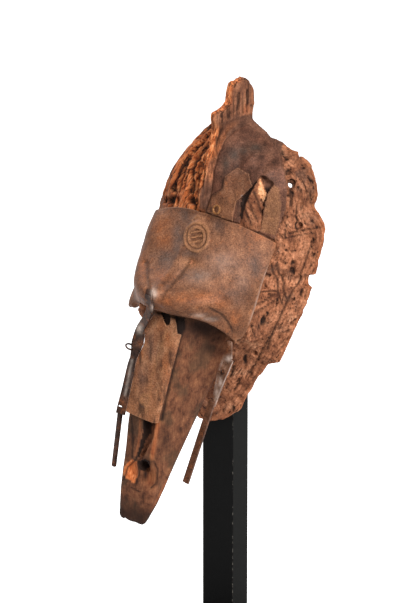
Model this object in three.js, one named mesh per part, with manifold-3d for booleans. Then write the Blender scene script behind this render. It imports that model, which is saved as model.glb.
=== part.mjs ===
// Marka mask: a long-muzzled animal mask of eroded wood, clad with hammered iron and copper
// sheet, hung over a black square-cut post with a flat foot.
// Millimetres, Z up. The mask looks along -Y, X runs to the viewer's right, the foot stands on Z = 0.
import * as THREE from 'three';
import * as BufferGeometryUtils from 'three/addons/utils/BufferGeometryUtils.js';
import Module from 'manifold-3d';

// Driving sizes
const GAP = 0.3;                       // air left between pieces that touch
const RIM = { zLow: 284, yLow: -17, zTop: 603, yTop: 34 };   // back plane, leaning back at the top
const EDGE = 7;                        // thickness of the worn rim
const CENTRE = { x: 0, z: 470, yFront: -44, yHollow: -34 };   // middle of the bowl
const DOME = { x: 62, up: 126, down: 66, base: 5, rise: 34 };
const CAVITY = { wall: 10, rimIn: 12, shoulderIn: 9, past: 12 };   // past: the cut's reach behind the rim
const CAVITY_DOME = { x: 50, up: 112, down: 60, base: 14, rise: 33 };
const SHEET = { thick: 1.4, bed: 0.4 };  // hammered sheet and the air under it
const CREST = { thick: 11, hornThick: 13 };
const EAR = { depth: 10, proud: 2 };
const POST = { wide: 42.4, deep: 24, yFront: -12.5, top: 543 };
const FOOT = { wide: 170, deep: 190, high: 25, yMid: -35 };

const lerp = (a, b, t) => a + (b - a) * t;
const clamp = (v, lo, hi) => Math.min(hi, Math.max(lo, v));

// Smooth curve through rows of [position, value, ...], read at s.
function curve(rows, s, column = 1) {
  const n = rows.length;
  if (s <= rows[0][0]) return rows[0][column];
  if (s >= rows[n - 1][0]) return rows[n - 1][column];
  let i = 0;
  while (rows[i + 1][0] < s) i++;
  const slope = (k) => {
    if (k <= 0 || k >= n - 1) return 0;
    return (rows[k + 1][column] - rows[k - 1][column]) / (rows[k + 1][0] - rows[k - 1][0]);
  };
  const h = rows[i + 1][0] - rows[i][0];
  const t = (s - rows[i][0]) / h;
  const t2 = t * t;
  const t3 = t2 * t;
  return (2 * t3 - 3 * t2 + 1) * rows[i][column] + (t3 - 2 * t2 + t) * h * slope(i)
    + (-2 * t3 + 3 * t2) * rows[i + 1][column] + (t3 - t2) * h * slope(i + 1);
}

const rimY = (z) => RIM.yLow + (z - RIM.zLow) * (RIM.yTop - RIM.yLow) / (RIM.zTop - RIM.zLow);

// The bowl, station by station clockwise from the top: worn rim x, z, then the shoulder where the
// flank meets the forehead or the muzzle, x, z, y.
const STATIONS = [
  [8, 601, 6, 592, 6], [31, 590, 24, 581, -4], [51, 586, 40, 575, -8], [64, 581, 52, 568, -9],
  [80, 580, 63, 564, -9], [93, 571, 71, 557, -8], [104, 555, 76, 548, -7], [106, 543, 78, 538, -7],
  [104, 529, 79, 527, -7], [111, 525, 80, 521, -7], [121, 513, 82, 509, -8], [122, 503, 81, 499, -10],
  [117, 476, 78, 474, -22], [115.5, 463, 75, 462, -28], [106, 460, 74.5, 459, -29],
  [106, 451, 73, 449, -34], [112, 449.5, 73, 448, -34.5], [106, 424, 68, 424, -46],
  [99.5, 410, 65, 410, -49], [91.5, 389, 52, 390, -45], [81, 363, 42, 374, -35], [66, 358, 39, 368, -31],
  [57, 343, 35, 352, -28], [43, 319, 27, 334, -28], [35, 301, 19, 318, -29], [14, 286, 8, 308, -29],
  [-3, 280, -2, 306, -29], [-20, 280, -12, 309, -29], [-34, 296, -20, 320, -29],
  [-45, 318, -28, 338, -28], [-58, 342, -36, 356, -29], [-72, 362, -43, 376, -36],
  [-86, 388, -53, 392, -45], [-97, 412, -65, 412, -49], [-104, 440, -72, 440, -39],
  [-106, 468, -77, 466, -26], [-102, 493, -80, 492, -12], [-100, 504, -81, 500, -9],
  [-95, 518, -78, 514, -8], [-88.6, 532, -74, 528, -8], [-79, 546, -68, 540, -8],
  [-69, 561, -58, 553, -8], [-56, 577, -45, 566, -8], [-46, 586, -36, 575, -6],
  [-28, 594, -20, 583, -2], [-8, 600, -5, 591, 5],
];

function station(s) {
  const n = STATIONS.length;
  const i = Math.floor(s) % n;
  const t = s - Math.floor(s);
  return STATIONS[i].map((v, k) => lerp(v, STATIONS[(i + 1) % n][k], t));
}

// Brow: height of the sheet's outer face over x and z. Middle line, side line and half width by z.
const BROW_MID = [[400, -104], [415, -106], [426, -109], [436, -113], [446, -111], [454, -100], [462, -87],
  [470, -77], [480, -68], [492, -58], [504, -49], [516, -41]];
const BROW_SIDE = [[396, -62, 66], [415, -55.6, 72], [438, -44.6, 77], [464, -30, 79.5], [495, -10, 79.5],
  [516, -2, 77]];
// The left half is beaten out more fully, and its lower corner is bent forward: by z, how far.
const BROW_FULL = [[430, 0], [445, 2], [455, 6], [470, 11], [485, 15], [500, 14], [510, 10], [518, 5]];
const BROW_LUG = 15;
const NOSE_RIDGE = { high: 6, wide: 8, from: 448, to: 505 };
// Right of the nose the sheet swells above its lower edge, with a shallow hollow over the swelling.
const SWELL = { z: 437, wide: 6, high: 2.5 };
const DIP = { z: 456, wide: 9, deep: 2.5 };
const LUG_LIFT = 10;

function browHalf(z) {
  return curve(BROW_SIDE, z, 2);
}
function ease(lo, hi, v) {
  const t = clamp((v - lo) / (hi - lo), 0, 1);
  return t * t * (3 - 2 * t);
}
function browLeft(x, z) {
  if (x >= 0) return 0;
  const s = -x / browHalf(z);
  const full = curve(BROW_FULL, z) * ease(0.2, 0.75, s) * (1 - 0.6 * ease(0.84, 1, s));
  return full + BROW_LUG * ease(0.6, 1, s) * ease(440, 405, z);
}
function browSwell(x, z) {
  const within = ease(4, 16, x) * ease(66, 54, x);
  const swell = SWELL.high * Math.exp(-(((z - SWELL.z) / SWELL.wide) ** 2));
  return within * (swell - DIP.deep * Math.exp(-(((z - DIP.z) / DIP.wide) ** 2)));
}
function browY(x, z) {
  const s = Math.abs(x) / browHalf(z);
  const mid = curve(BROW_MID, z) + NOSE_RIDGE.high * 0.6;
  const side = curve(BROW_SIDE, z);
  const along = clamp((z - NOSE_RIDGE.from + 14) / 14, 0, 1) * clamp((NOSE_RIDGE.to + 16 - z) / 16, 0, 1);
  const ridge = NOSE_RIDGE.high * along * Math.exp(-((x / NOSE_RIDGE.wide) ** 2));
  const cheek = 3.5 * Math.sin(Math.PI * clamp(s, 0, 1)) * clamp((z - 425) / 40, 0, 1);
  return lerp(mid, side, s ** 2.2) - ridge - cheek - browLeft(x, z) - browSwell(x, z);
}
const BROW_MIDDLE = { top: 516, low: 431 };
function browTop(x) {
  return BROW_MIDDLE.top - 21 * (Math.abs(x) / 77) ** 2.6;
}
function browLow(x) {
  const lift = x < 0 ? LUG_LIFT * ease(0.88, 1.04, -x / 66) : 0;
  return BROW_MIDDLE.low - 26 * (Math.abs(x) / 64) ** 4 + lift;
}

// Cheek under the bent corner on the left: middle, then half sizes.
const LEFT_CHEEK = [-39, -73, 412, 14.5, 14, 15];

// Muzzle sections: z, front y, back y, half width in front, half width behind.
const MUZZLE = [[206, -145, -139, 16, 12], [209, -147, -135, 19.5, 14.5], [225, -143.5, -122, 22.5, 18],
  [240, -141, -111, 24, 19.5], [258, -138, -99, 24.5, 21], [280, -136.5, -82.5, 22, 23],
  [306, -134, -64, 21.8, 25.5], [319, -131.5, -55, 22, 27], [345, -122, -38, 23, 31],
  [375, -111, -20, 23.6, 35], [391, -105, -14, 24, 38], [418, -95, -10, 24.5, 40], [444, -88, -8, 25, 40]];

// Helpers for solids
const wasm = await Module();
wasm.setup();

function toSolid(geometry) {
  const bare = geometry.clone();
  bare.deleteAttribute('normal');
  bare.deleteAttribute('uv');
  const merged = BufferGeometryUtils.mergeVertices(bare, 1e-4);
  const index = merged.getIndex().array;
  const keep = [];
  for (let i = 0; i < index.length; i += 3) {
    const [a, b, c] = [index[i], index[i + 1], index[i + 2]];
    if (a !== b && b !== c && a !== c) keep.push(a, b, c);
  }
  const closed = (triangles) => new wasm.Manifold(new wasm.Mesh({
    numProp: 3,
    vertProperties: new Float32Array(merged.getAttribute('position').array),
    triVerts: new Uint32Array(triangles),
  }));
  const solid = closed(keep);
  if (solid.volume() > 0) return solid;
  const turned = [];
  for (let i = 0; i < keep.length; i += 3) turned.push(keep[i], keep[i + 2], keep[i + 1]);
  return closed(turned);
}

// Keeps the biggest body of a cut solid: crumbs cut loose fall away.
function biggest(solid) {
  return solid.decompose().sort((a, b) => b.volume() - a.volume())[0];
}

function toGeometry(solid) {
  const mesh = solid.getMesh();
  const geometry = new THREE.BufferGeometry();
  geometry.setAttribute('position', new THREE.BufferAttribute(new Float32Array(mesh.vertProperties), 3));
  geometry.setIndex(new THREE.BufferAttribute(new Uint32Array(mesh.triVerts), 1));
  const flat = geometry.toNonIndexed();
  flat.computeVertexNormals();
  return flat;
}

// A box of nu by nv by nw cells whose corners are sent through place(u, v, w), each from 0 to 1.
function mappedBox(nu, nv, nw, place) {
  const box = new THREE.BoxGeometry(1, 1, 1, nu, nv, nw);
  const p = box.getAttribute('position');
  for (let i = 0; i < p.count; i++) {
    const q = place(p.getX(i) + 0.5, p.getY(i) + 0.5, p.getZ(i) + 0.5);
    p.setXYZ(i, q[0], q[1], q[2]);
  }
  return toSolid(box);
}

// A lathe turned about Y, then bent to the outline: place(angle turn 0..1, ring) gives the point.
function bentLathe(rings, segments, place) {
  const profile = [];
  for (let i = 0; i < rings; i++) {
    const end = i === 0 || i === rings - 1;
    profile.push(new THREE.Vector2(end ? 0 : 1, i));
  }
  const lathe = new THREE.LatheGeometry(profile, segments);
  const p = lathe.getAttribute('position');
  for (let i = 0; i < p.count; i++) {
    const ring = Math.round(p.getY(i));
    const end = ring === 0 || ring === rings - 1;
    let turn = Math.atan2(p.getX(i), p.getZ(i)) / (2 * Math.PI);
    turn = (Math.round(turn * segments) / segments + 1) % 1;
    const q = place(end ? 0 : turn, ring);
    p.setXYZ(i, q[0], q[1], q[2]);
  }
  return toSolid(lathe);
}

// An outline in the X-Z plane pushed through from y0 to y1.
function prismXZ(points, y0, y1) {
  const shape = new THREE.Shape(points.map(([x, z]) => new THREE.Vector2(x, z)));
  const geometry = new THREE.ExtrudeGeometry(shape, { depth: y1 - y0, bevelEnabled: false });
  geometry.applyMatrix4(new THREE.Matrix4().set(1, 0, 0, 0, 0, 0, 1, y0, 0, 1, 0, 0, 0, 0, 0, 1));
  return toSolid(geometry);
}

// A bar between two points: with four sides it lies on its edge and cuts a V groove.
function grooveBar(a, b, size, sides = 4) {
  const from = new THREE.Vector3(...a);
  const to = new THREE.Vector3(...b);
  const run = to.clone().sub(from);
  const bar = new THREE.CylinderGeometry(size, size, run.length(), sides, 1);
  const turn = new THREE.Quaternion().setFromUnitVectors(new THREE.Vector3(0, 1, 0), run.normalize());
  bar.applyQuaternion(turn);
  bar.translate((from.x + to.x) / 2, (from.y + to.y) / 2, (from.z + to.z) / 2);
  return toSolid(bar);
}

function ellipsoid(cx, cy, cz, rx, ry, rz, detail = 12) {
  const ball = new THREE.SphereGeometry(1, detail, Math.round(detail * 0.7));
  ball.scale(rx, ry, rz);
  ball.translate(cx, cy, cz);
  return toSolid(ball);
}

// Where the front of a solid stands at x, z: the first hit of a line running along +Y.
function frontOf(solid) {
  const mesh = new THREE.Mesh(toGeometry(solid), new THREE.MeshBasicMaterial({ side: THREE.DoubleSide }));
  const caster = new THREE.Raycaster();
  return (x, z) => {
    caster.set(new THREE.Vector3(x, -400, z), new THREE.Vector3(0, 1, 0));
    const hits = caster.intersectObject(mesh, false);
    return hits.length ? hits[0].point.y : rimY(z) - EDGE;
  };
}

// Wood: bowl, forehead, brow, muzzle
const SEGMENTS = STATIONS.length * 2;

function bowl() {
  // Rings from the middle out: share of the way to the shoulder, then share of the flank.
  const rows = [[0, 0], [0.45, 0], [1, 0], [1, 0.25], [1, 0.5], [1, 0.75], [1, 0.93]];
  const front = rows.length;
  return bentLathe(front + 3, SEGMENTS, (turn, ring) => {
    const [rx, rz, sx, sz, sy] = station(turn * STATIONS.length);
    if (ring === 0) return [CENTRE.x, CENTRE.yFront, CENTRE.z];
    if (ring === front + 2) return [CENTRE.x, rimY(CENTRE.z), CENTRE.z];
    if (ring === front) return [rx, rimY(rz) - EDGE * 0.8, rz];
    if (ring === front + 1) return [rx * 0.992, rimY(rz), rz];
    const [t, flank] = rows[ring];
    if (flank === 0) return [lerp(CENTRE.x, sx, t), lerp(CENTRE.yFront, sy, t * t), lerp(CENTRE.z, sz, t)];
    const sag = 3.2 * Math.sin(Math.PI * flank);
    const worn = 1.1 * Math.sin(turn * 91 + flank * 9) * Math.sin(turn * 37);
    return [lerp(sx, rx, flank), lerp(sy, rimY(rz) - EDGE, flank) + sag + worn, lerp(sz, rz, flank)];
  });
}

function bowlHollow() {
  return bentLathe(8, SEGMENTS / 2, (turn, ring) => {
    const [rx, rz, sx, sz, sy] = station(turn * STATIONS.length);
    const away = Math.hypot(rx - CENTRE.x, rz - CENTRE.z);
    const ix = rx - (rx - CENTRE.x) / away * CAVITY.rimIn;
    const iz = rz - (rz - CENTRE.z) / away * CAVITY.rimIn;
    const inward = Math.hypot(sx - CENTRE.x, sz - CENTRE.z);
    const jx = sx - (sx - CENTRE.x) / inward * CAVITY.shoulderIn;
    const jz = sz - (sz - CENTRE.z) / inward * CAVITY.shoulderIn;
    if (ring === 0) return [CENTRE.x, CENTRE.yHollow, CENTRE.z];
    const floor = sy + CAVITY.wall;
    const half = [lerp(CENTRE.x, jx, 0.5), lerp(CENTRE.yHollow, floor, 0.3), lerp(CENTRE.z, jz, 0.5)];
    if (ring === 1) return half;
    if (ring === 2) return [jx, floor, jz];
    if (ring === 3) return [lerp(jx, ix, 0.55), lerp(floor, rimY(iz), 0.55) + 1.5, lerp(jz, iz, 0.55)];
    if (ring === 4) return [ix, rimY(iz), iz];
    if (ring === 5) return [ix, rimY(iz) + CAVITY.past, iz];
    if (ring === 6) return [ix * 0.5, rimY(iz) + CAVITY.past, lerp(CENTRE.z, iz, 0.5)];
    return [CENTRE.x, rimY(CENTRE.z) + CAVITY.past, CENTRE.z];
  });
}

// Domed forehead, and the same form smaller for the hollow behind it.
function dome({ x: half, up, down, base, rise }) {
  const radii = [0, 0.45, 0.7, 0.84, 0.93, 0.98, 1];
  return bentLathe(radii.length + 2, 40, (turn, ring) => {
    const last = ring === radii.length + 1;
    const r = ring < radii.length ? radii[ring] : 1;
    const a = turn * 2 * Math.PI;
    const x = last ? 0 : half * r * Math.sin(a);
    const reach = Math.cos(a) > 0 ? up : down;
    const z = CENTRE.z + (last ? 0 : reach * r * Math.cos(a));
    const foot = base + (z - 540) * 0.12;
    if (ring >= radii.length) return [x, foot + 9, z];
    return [x, foot - rise * (1 - r ** 5) ** 0.55, z];
  });
}

// Block behind the brow's face: inset from it, from lowAt up to highAt, narrowed at the sides.
function browBlock({ inset, lowAt, highAt, backAt, narrower }) {
  return mappedBox(18, 9, 1, (u, v, w) => {
    const x = lerp(-1, 1, u) * (browHalf(lerp(lowAt, highAt, v)) - narrower);
    const z = lerp(browLow(x) + lowAt - browLow(0), browTop(x) + highAt - browTop(0), v);
    return [x, w < 0.5 ? browY(x, z) + inset : backAt, z];
  });
}

// A tube through sections of rounded-square outline; the smaller square is, the squarer.
function muzzle(rows, square) {
  const levels = rows.length - 1;
  const tube = new THREE.CylinderGeometry(1, 1, levels, 26, levels);
  const p = tube.getAttribute('position');
  for (let i = 0; i < p.count; i++) {
    const row = rows[clamp(Math.round(p.getY(i) + levels / 2), 0, levels)];
    const [z, front, back, wideFront, wideBack] = row;
    const r = Math.hypot(p.getX(i), p.getZ(i));
    const a = Math.atan2(p.getX(i), p.getZ(i));
    const c = Math.sign(Math.cos(a)) * Math.abs(Math.cos(a)) ** square;
    const s = Math.sign(Math.sin(a)) * Math.abs(Math.sin(a)) ** square;
    const depth = (1 + c) / 2;
    const half = lerp(wideFront, wideBack, depth);
    const y = lerp(front, back, depth);
    const mid = (front + back) / 2;
    p.setXYZ(i, r > 0.5 ? half * s : 0, r > 0.5 ? y : mid, z);
  }
  return toSolid(tube);
}

// Crest and horn: one thin fin on the middle line, seen from the side as y, z.
const CREST_SIDE = [[-42, 516], [-41.5, 532], [-37, 550], [-31, 565], [-24, 581], [-18, 598], [-19.5, 611],
  [-18.5, 618], [-10, 619], [1, 623], [5, 635], [8, 643], [12, 646], [16, 643.5], [19, 646],
  [25, 646.5], [33, 640], [38.5, 631], [39.5, 613], [36.5, 610], [36, 597], [24, 597], [6, 590], [-6, 577],
  [-15, 562], [-22, 548], [-22, 516]];

function crest() {
  const shape = new THREE.Shape(CREST_SIDE.map(([y, z]) => new THREE.Vector2(y, z)));
  const fin = new THREE.ExtrudeGeometry(shape, {
    depth: CREST.thick - 3, bevelEnabled: true, bevelThickness: 1.5, bevelSize: 1.5, bevelOffset: -1.5,
    bevelSegments: 1, curveSegments: 1,
  });
  const p = fin.getAttribute('position');
  for (let i = 0; i < p.count; i++) {
    const y = p.getX(i);
    const z = p.getY(i);
    let x = p.getZ(i) - (CREST.thick - 3) / 2;
    x *= z > 600 ? CREST.hornThick / CREST.thick : lerp(0.62, 1, clamp((z - 516) / 70, 0, 1));
    p.setXYZ(i, x, y, z);
  }
  return toSolid(fin);
}

// Ear: a leaf standing in a slot of the sheet, cut with steep grooves, its right edge freshly broken.
const EAR_FOOT = [57, -24, 506];
const EAR_TOP = [59, -13.5, 559];
const EAR_OUT = [0.537, -0.827, 0.164];
// Outline as height above the foot and reach to the left of it.
const EAR_LEAF = [[-8, -7], [1, -7.5], [17, -6.7], [31, -6.8], [40, -9], [46.6, -5.6], [54.5, -0.6],
  [42.3, 6.5], [29.8, 10.9], [19.6, 12.6], [8.4, 10.2], [-8, 8]];
const EAR_GROOVES = [[[40, 4.5], [17, -8.5]], [[30, 9.5], [13, -2.5]], [[22, 12], [5, 1]]];

function earFrame() {
  const foot = new THREE.Vector3(...EAR_FOOT);
  const up = new THREE.Vector3(...EAR_TOP).sub(foot).normalize();
  const side = new THREE.Vector3().crossVectors(up, new THREE.Vector3(...EAR_OUT)).normalize().negate();
  const face = new THREE.Vector3().crossVectors(side, up).normalize().negate();
  return { up, side, face, foot };
}
function ear() {
  const { up, side, face, foot } = earFrame();
  const at = (rise, reach, out) => foot.clone().addScaledVector(up, rise).addScaledVector(side, reach)
    .addScaledVector(face, out);
  const bevel = 1.5;
  const shape = new THREE.Shape(EAR_LEAF.map(([rise, reach]) => new THREE.Vector2(reach, rise)));
  const leaf = new THREE.ExtrudeGeometry(shape, {
    depth: EAR.depth, bevelEnabled: true, bevelThickness: bevel, bevelSize: bevel, bevelOffset: -bevel,
    bevelSegments: 1, curveSegments: 1,
  });
  const basis = new THREE.Matrix4().makeBasis(side, up, face);
  leaf.applyMatrix4(basis);
  const base = at(0, 0, EAR.proud - bevel - EAR.depth);
  leaf.translate(base.x, base.y, base.z);
  let solid = toSolid(leaf);
  for (const [from, to] of EAR_GROOVES) {
    const bar = grooveBar(at(...from, EAR.proud + 0.4).toArray(), at(...to, EAR.proud + 0.4).toArray(), 2);
    solid = solid.subtract(bar);
  }
  // The broken facet slopes back from a line near the middle of the leaf to its right edge.
  const facet = new THREE.BoxGeometry(24, 40, 12);
  facet.translate(-12, 0, 6);
  facet.rotateY(-0.55);
  facet.rotateZ(0.16);
  facet.applyMatrix4(basis);
  const corner = at(50, 0.8, EAR.proud);
  facet.translate(corner.x, corner.y, corner.z);
  return solid.subtract(toSolid(facet));
}

// Build the wood
const BROW_WOOD = { inset: SHEET.thick + 0.9, lowAt: 441, highAt: 512, backAt: 0, narrower: 2 };
const BROW_HOLLOW = { inset: 15, lowAt: 452, highAt: 498, backAt: 10, narrower: 16 };
let wood = bowl().add(dome(DOME)).add(browBlock(BROW_WOOD));
wood = wood.add(muzzle(MUZZLE, 0.42)).add(ellipsoid(...LEFT_CHEEK));
const cavity = bowlHollow().add(dome(CAVITY_DOME));
wood = wood.subtract(cavity).subtract(browBlock(BROW_HOLLOW));
const MUZZLE_HOLLOW = [[340, -92, -58, 9, 10], [352, -94, -52, 12, 15], [375, -88, -36, 14, 22],
  [400, -80, -20, 15, 26], [425, -76, -6, 16, 28], [455, -74, 10, 18, 30]];
wood = wood.subtract(muzzle(MUZZLE_HOLLOW, 0.6));
const skin = frontOf(wood);
wood = wood.add(crest());

// Trough round the ear, sunk in the wall but not through it, then the ear itself.
const EAR_SLOT = [[58, 562], [64, 561], [72, 555], [68, 545.5], [66.4, 533], [64.8, 515], [63.5, 500],
  [47.5, 500], [46, 518], [44, 531], [42.6, 537.5], [46.5, 541.5], [55.5, 555.5]];
const TROUGH = { out: -14, deep: 6.5 };
const trough = mappedBox(5, 8, 1, (u, v, w) => {
  const x = lerp(40, 74, u);
  const z = lerp(498, 564, v);
  return [x, skin(x, z) + lerp(TROUGH.out, TROUGH.deep, w), z];
}).intersect(prismXZ(EAR_SLOT, -80, 30));
wood = wood.subtract(trough).add(ear().subtract(cavity));

// Sheets of metal
// A grid laid on the carving: point(u, v, off) stands off the wood by off, square to its surface.
function draped(nu, nv, corner) {
  const grid = [];
  for (let i = 0; i <= nu; i++) {
    grid.push([]);
    for (let k = 0; k <= nv; k++) {
      const [x, z] = corner(i / nu, k / nv);
      grid[i].push(new THREE.Vector3(x, skin(x, z), z));
    }
  }
  return (u, v, off) => {
    const i = Math.round(u * nu);
    const k = Math.round(v * nv);
    const du = grid[Math.min(i + 1, nu)][k].clone().sub(grid[Math.max(i - 1, 0)][k]);
    const dv = grid[i][Math.min(k + 1, nv)].clone().sub(grid[i][Math.max(k - 1, 0)]);
    const outward = dv.cross(du).normalize();
    if (outward.y > 0) outward.negate();
    return grid[i][k].clone().addScaledVector(outward, off).toArray();
  };
}
const CAP_OUTER = [[10, 598], [21, 593], [34, 588], [50, 585], [57, 580.5], [66, 574], [75, 566],
  [80.5, 556], [83, 548], [83, 528], [81, 514], [77, 497]];
const CAP_CELLS = [12, 22];
function capCorner(u, v) {
  const i = v * (CAP_OUTER.length - 1);
  const k = clamp(Math.floor(i), 0, CAP_OUTER.length - 2);
  const x1 = lerp(CAP_OUTER[k][0], CAP_OUTER[k + 1][0], i - k);
  const z1 = lerp(CAP_OUTER[k][1], CAP_OUTER[k + 1][1], i - k);
  const z0 = lerp(593, 513.5, v);
  return [lerp(6.5, x1, u), lerp(z0, z1, u)];
}
const capLaid = draped(...CAP_CELLS, capCorner);
const capOuter = SHEET.bed + SHEET.thick;
let cap = mappedBox(...CAP_CELLS, 1, (u, v, w) => capLaid(u, v, w < 0.5 ? capOuter : SHEET.bed));
cap = cap.subtract(prismXZ(EAR_SLOT, -60, 30)).subtract(crest().translate([GAP, 0, 0]));

const PATCH = [[20, 556], [21, 544], [8, 534], [9, 514], [40, 512], [40, 534], [44, 538], [54, 551],
  [46, 562], [31, 566]];
const PATCH_CELLS = [9, 10];
const patchLaid = draped(...PATCH_CELLS, (u, v) => [lerp(4, 58, u), lerp(508, 570, v)]);
const patchInner = capOuter + GAP;
const patchOff = (w) => patchInner + (w < 0.5 ? SHEET.thick : 0);
let patch = mappedBox(...PATCH_CELLS, 1, (u, v, w) => patchLaid(u, v, patchOff(w)));
patch = patch.intersect(prismXZ(PATCH, -80, 30));

// Brow sheet with its lower edge rolled under.
const ROLL = { from: 0.8, radius: 5, sweep: 2.7 };
function browFace(u, v) {
  const side = lerp(-1, 1, u);
  const x = side * browHalf(lerp(497, 404, Math.min(v / ROLL.from, 1)));
  const low = browLow(x);
  if (v <= ROLL.from) {
    const z = lerp(browTop(x), low, v / ROLL.from);
    return [x, browY(x, z), z];
  }
  const a = (v - ROLL.from) / (1 - ROLL.from) * ROLL.sweep;
  const radius = ROLL.radius * (x < 0 ? 1 - 0.5 * ease(0.85, 1, -x / 67) : 1);
  return [x * (1 - 0.02 * a), browY(x, low) + radius * (1 - Math.cos(a)), low - radius * Math.sin(a)];
}
function thickBrow(u, v, w, outer = 0, inner = SHEET.thick) {
  const step = 2e-3;
  const c = new THREE.Vector3(...browFace(u, v));
  const du = new THREE.Vector3(...browFace(u + step, v)).sub(new THREE.Vector3(...browFace(u - step, v)));
  const dv = new THREE.Vector3(...browFace(u, v + step)).sub(new THREE.Vector3(...browFace(u, v - step)));
  const outward = dv.cross(du).normalize();
  return c.addScaledVector(outward, w < 0.5 ? outer : -inner).toArray();
}
let brow = mappedBox(18, 18, 1, (u, v, w) => thickBrow(u, v, w));

// Embossed roundel: two raised rings and plain strokes, laid over a face given as y over x, z.
function roundel(x, z, radius, face, raise, strokes) {
  const parts = [radius, radius * 0.68].map((r) => new THREE.TorusGeometry(r, raise, 4, 18));
  for (let i = 0; i < strokes; i++) {
    const bar = new THREE.BoxGeometry(radius * 0.8, raise * 1.1, raise * 1.6);
    bar.rotateZ(0.5);
    bar.translate(0, (i - (strokes - 1) / 2) * radius * 0.3, 0);
    parts.push(bar);
  }
  let solid = null;
  for (const geometry of parts) {
    const p = geometry.getAttribute('position');
    for (let i = 0; i < p.count; i++) {
      const px = x + p.getX(i);
      const pz = z + p.getY(i);
      p.setXYZ(i, px, face(px, pz) - p.getZ(i), pz);
    }
    const next = toSolid(geometry);
    solid = solid ? solid.add(next) : next;
  }
  return solid;
}

// Nose sheet, laid over the bridge: its right edge is folded back, its left edge is cut to a line.
const NOSE_ACROSS = [[-20, -0.6], [-17, -1], [-9, -1.3], [4.5, -1.6], [17, -1.2], [22.4, -0.2],
  [25.5, 2.2], [26, 5]];
const NOSE_LEFT = [[317, -18.5], [351, -19.7], [370, -20.3], [380, -18], [388, -16], [395, -17.5],
  [402, -20],
  [410, -16.5], [420, -11.5]];
const NOSE = { top: 420, low: 317 };
function noseFront(z) {
  return curve(MUZZLE, z, 1);
}
function noseFace(u, v) {
  const i = u * (NOSE_ACROSS.length - 1);
  const k = Math.min(Math.floor(i), NOSE_ACROSS.length - 2);
  const a = lerp(NOSE_ACROSS[k][0], NOSE_ACROSS[k + 1][0], i - k);
  const back = lerp(NOSE_ACROSS[k][1], NOSE_ACROSS[k + 1][1], i - k);
  const z = lerp(NOSE.top, NOSE.low + 2 - a * 0.06, v);
  const x = a < 0 ? a / NOSE_ACROSS[0][0] * curve(NOSE_LEFT, z) : a * lerp(1, 0.9, v);
  return [x, noseFront(z) + back - 1.6, z];
}
let nose = mappedBox(7, 14, 1, (u, v, w) => {
  const [x, y, z] = noseFace(u, v);
  const inner = w < 0.5 ? 0 : 1;
  return [x * (1 - 0.06 * inner * (x > 0 ? 1 : 0)), y + inner * SHEET.thick * (x > 23 ? 0.25 : 1), z];
});
const NOSE_HOLE = { left: 0.5, right: 9, low: 409.5, top: 422 };
nose = nose.subtract(mappedBox(1, 1, 1, (u, v, w) => [
  lerp(NOSE_HOLE.left, NOSE_HOLE.right, u), lerp(-115, -85, w), lerp(NOSE_HOLE.low, NOSE_HOLE.top, v)]));

// Carving and wear in the wood
function flankPoint(x, z, sink) {
  return [x, skin(x, z) + sink, z];
}
function flankLine(points, size) {
  let solid = null;
  for (let i = 0; i + 1 < points.length; i++) {
    const bar = grooveBar(flankPoint(...points[i], 0.2), flankPoint(...points[i + 1], 0.2), size);
    solid = solid ? solid.add(bar) : bar;
  }
  return solid;
}
const INCISED = [
  [[64, 420], [86, 443]], [[67, 416], [89, 439]],
  [[80, 474], [86, 452], [91, 432]], [[84, 474], [90, 452], [95, 434]],
  [[76, 446], [86, 446]],
  [[84, 503], [100, 508], [112, 512]], [[85, 499], [101, 504], [112, 507]],
  [[110, 494], [105, 470], [98, 445], [88, 414], [72, 378]],
  [[-84, 470], [-90, 448], [-94, 430]], [[-66, 418], [-88, 440]],
  [[-98, 480], [-97, 455], [-90, 420], [-74, 380]],
];
for (const line of INCISED) wood = wood.subtract(flankLine(line, 1.7));

// Holes and splits right through, and bites out of the rim: x, z, half width, half height.
const HOLES = [[88, 536, 1.4, 10], [96, 512, 2.6, 2.6], [77, 452, 2, 7], [-76, 506, 4.5, 5],
  [-45, 514, 3.6, 4.6], [70, 400, 2.2, 5], [58, 372, 2.4, 6], [88, 478, 1.6, 3]];
for (const [x, z, a, b] of HOLES) {
  const pin = new THREE.CylinderGeometry(1, 1, 60, 10, 1);
  pin.scale(a, 1, b);
  pin.translate(x, 0, z);
  wood = wood.subtract(toSolid(pin));
}
const SLANTED_HOLE = { from: [94.5, -2, 560.6], to: [69, 16, 544], radius: 3.4 };
wood = wood.subtract(grooveBar(SLANTED_HOLE.from, SLANTED_HOLE.to, SLANTED_HOLE.radius, 10));
const BITES = [[[88, 584], [94, 578], [90, 572], [86, 580]], [[70, 590], [75, 576], [79, 577], [78, 590]],
  [[105, 460], [118, 461], [118, 450.5], [105.5, 450.5]], [[101, 534], [112, 533], [108, 526], [103, 529]],
  [[30, 286], [38, 296], [44, 290], [38, 282]]];
for (const bite of BITES) wood = wood.subtract(prismXZ(bite, -12, 60));

// Muzzle: slot between two ribs under the nose sheet, a broken facet, nostril, scoop and chipped lip.
const SLOT = [[274, -1, 5], [283, 4.5, 10], [292, 6, 14], [305, 6.5, 17], [320, 5, 16], [332, 4.5, 15.5]];
wood = wood.subtract(mappedBox(1, 7, 1, (u, v, w) => {
  const z = lerp(274, 332, v);
  return [lerp(curve(SLOT, z, 1), curve(SLOT, z, 2), u), noseFront(z) + lerp(-6, 12, w), z];
}));
const NOSTRIL = [[-6, -145, 262, 10, 11.5, 15], [18, -145, 257, 12, 12, 14],
  [10, -134, 267.5, 6.5, 15, 6.5]];
for (const place of NOSTRIL) wood = wood.subtract(ellipsoid(...place));
for (const [x, a, b] of [[-9, 2.2, 3], [-1, 1.6, 2.2], [5, 1.8, 2]]) {
  wood = wood.subtract(ellipsoid(x, -144, 206, a, 8, b, 8));
}

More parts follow.
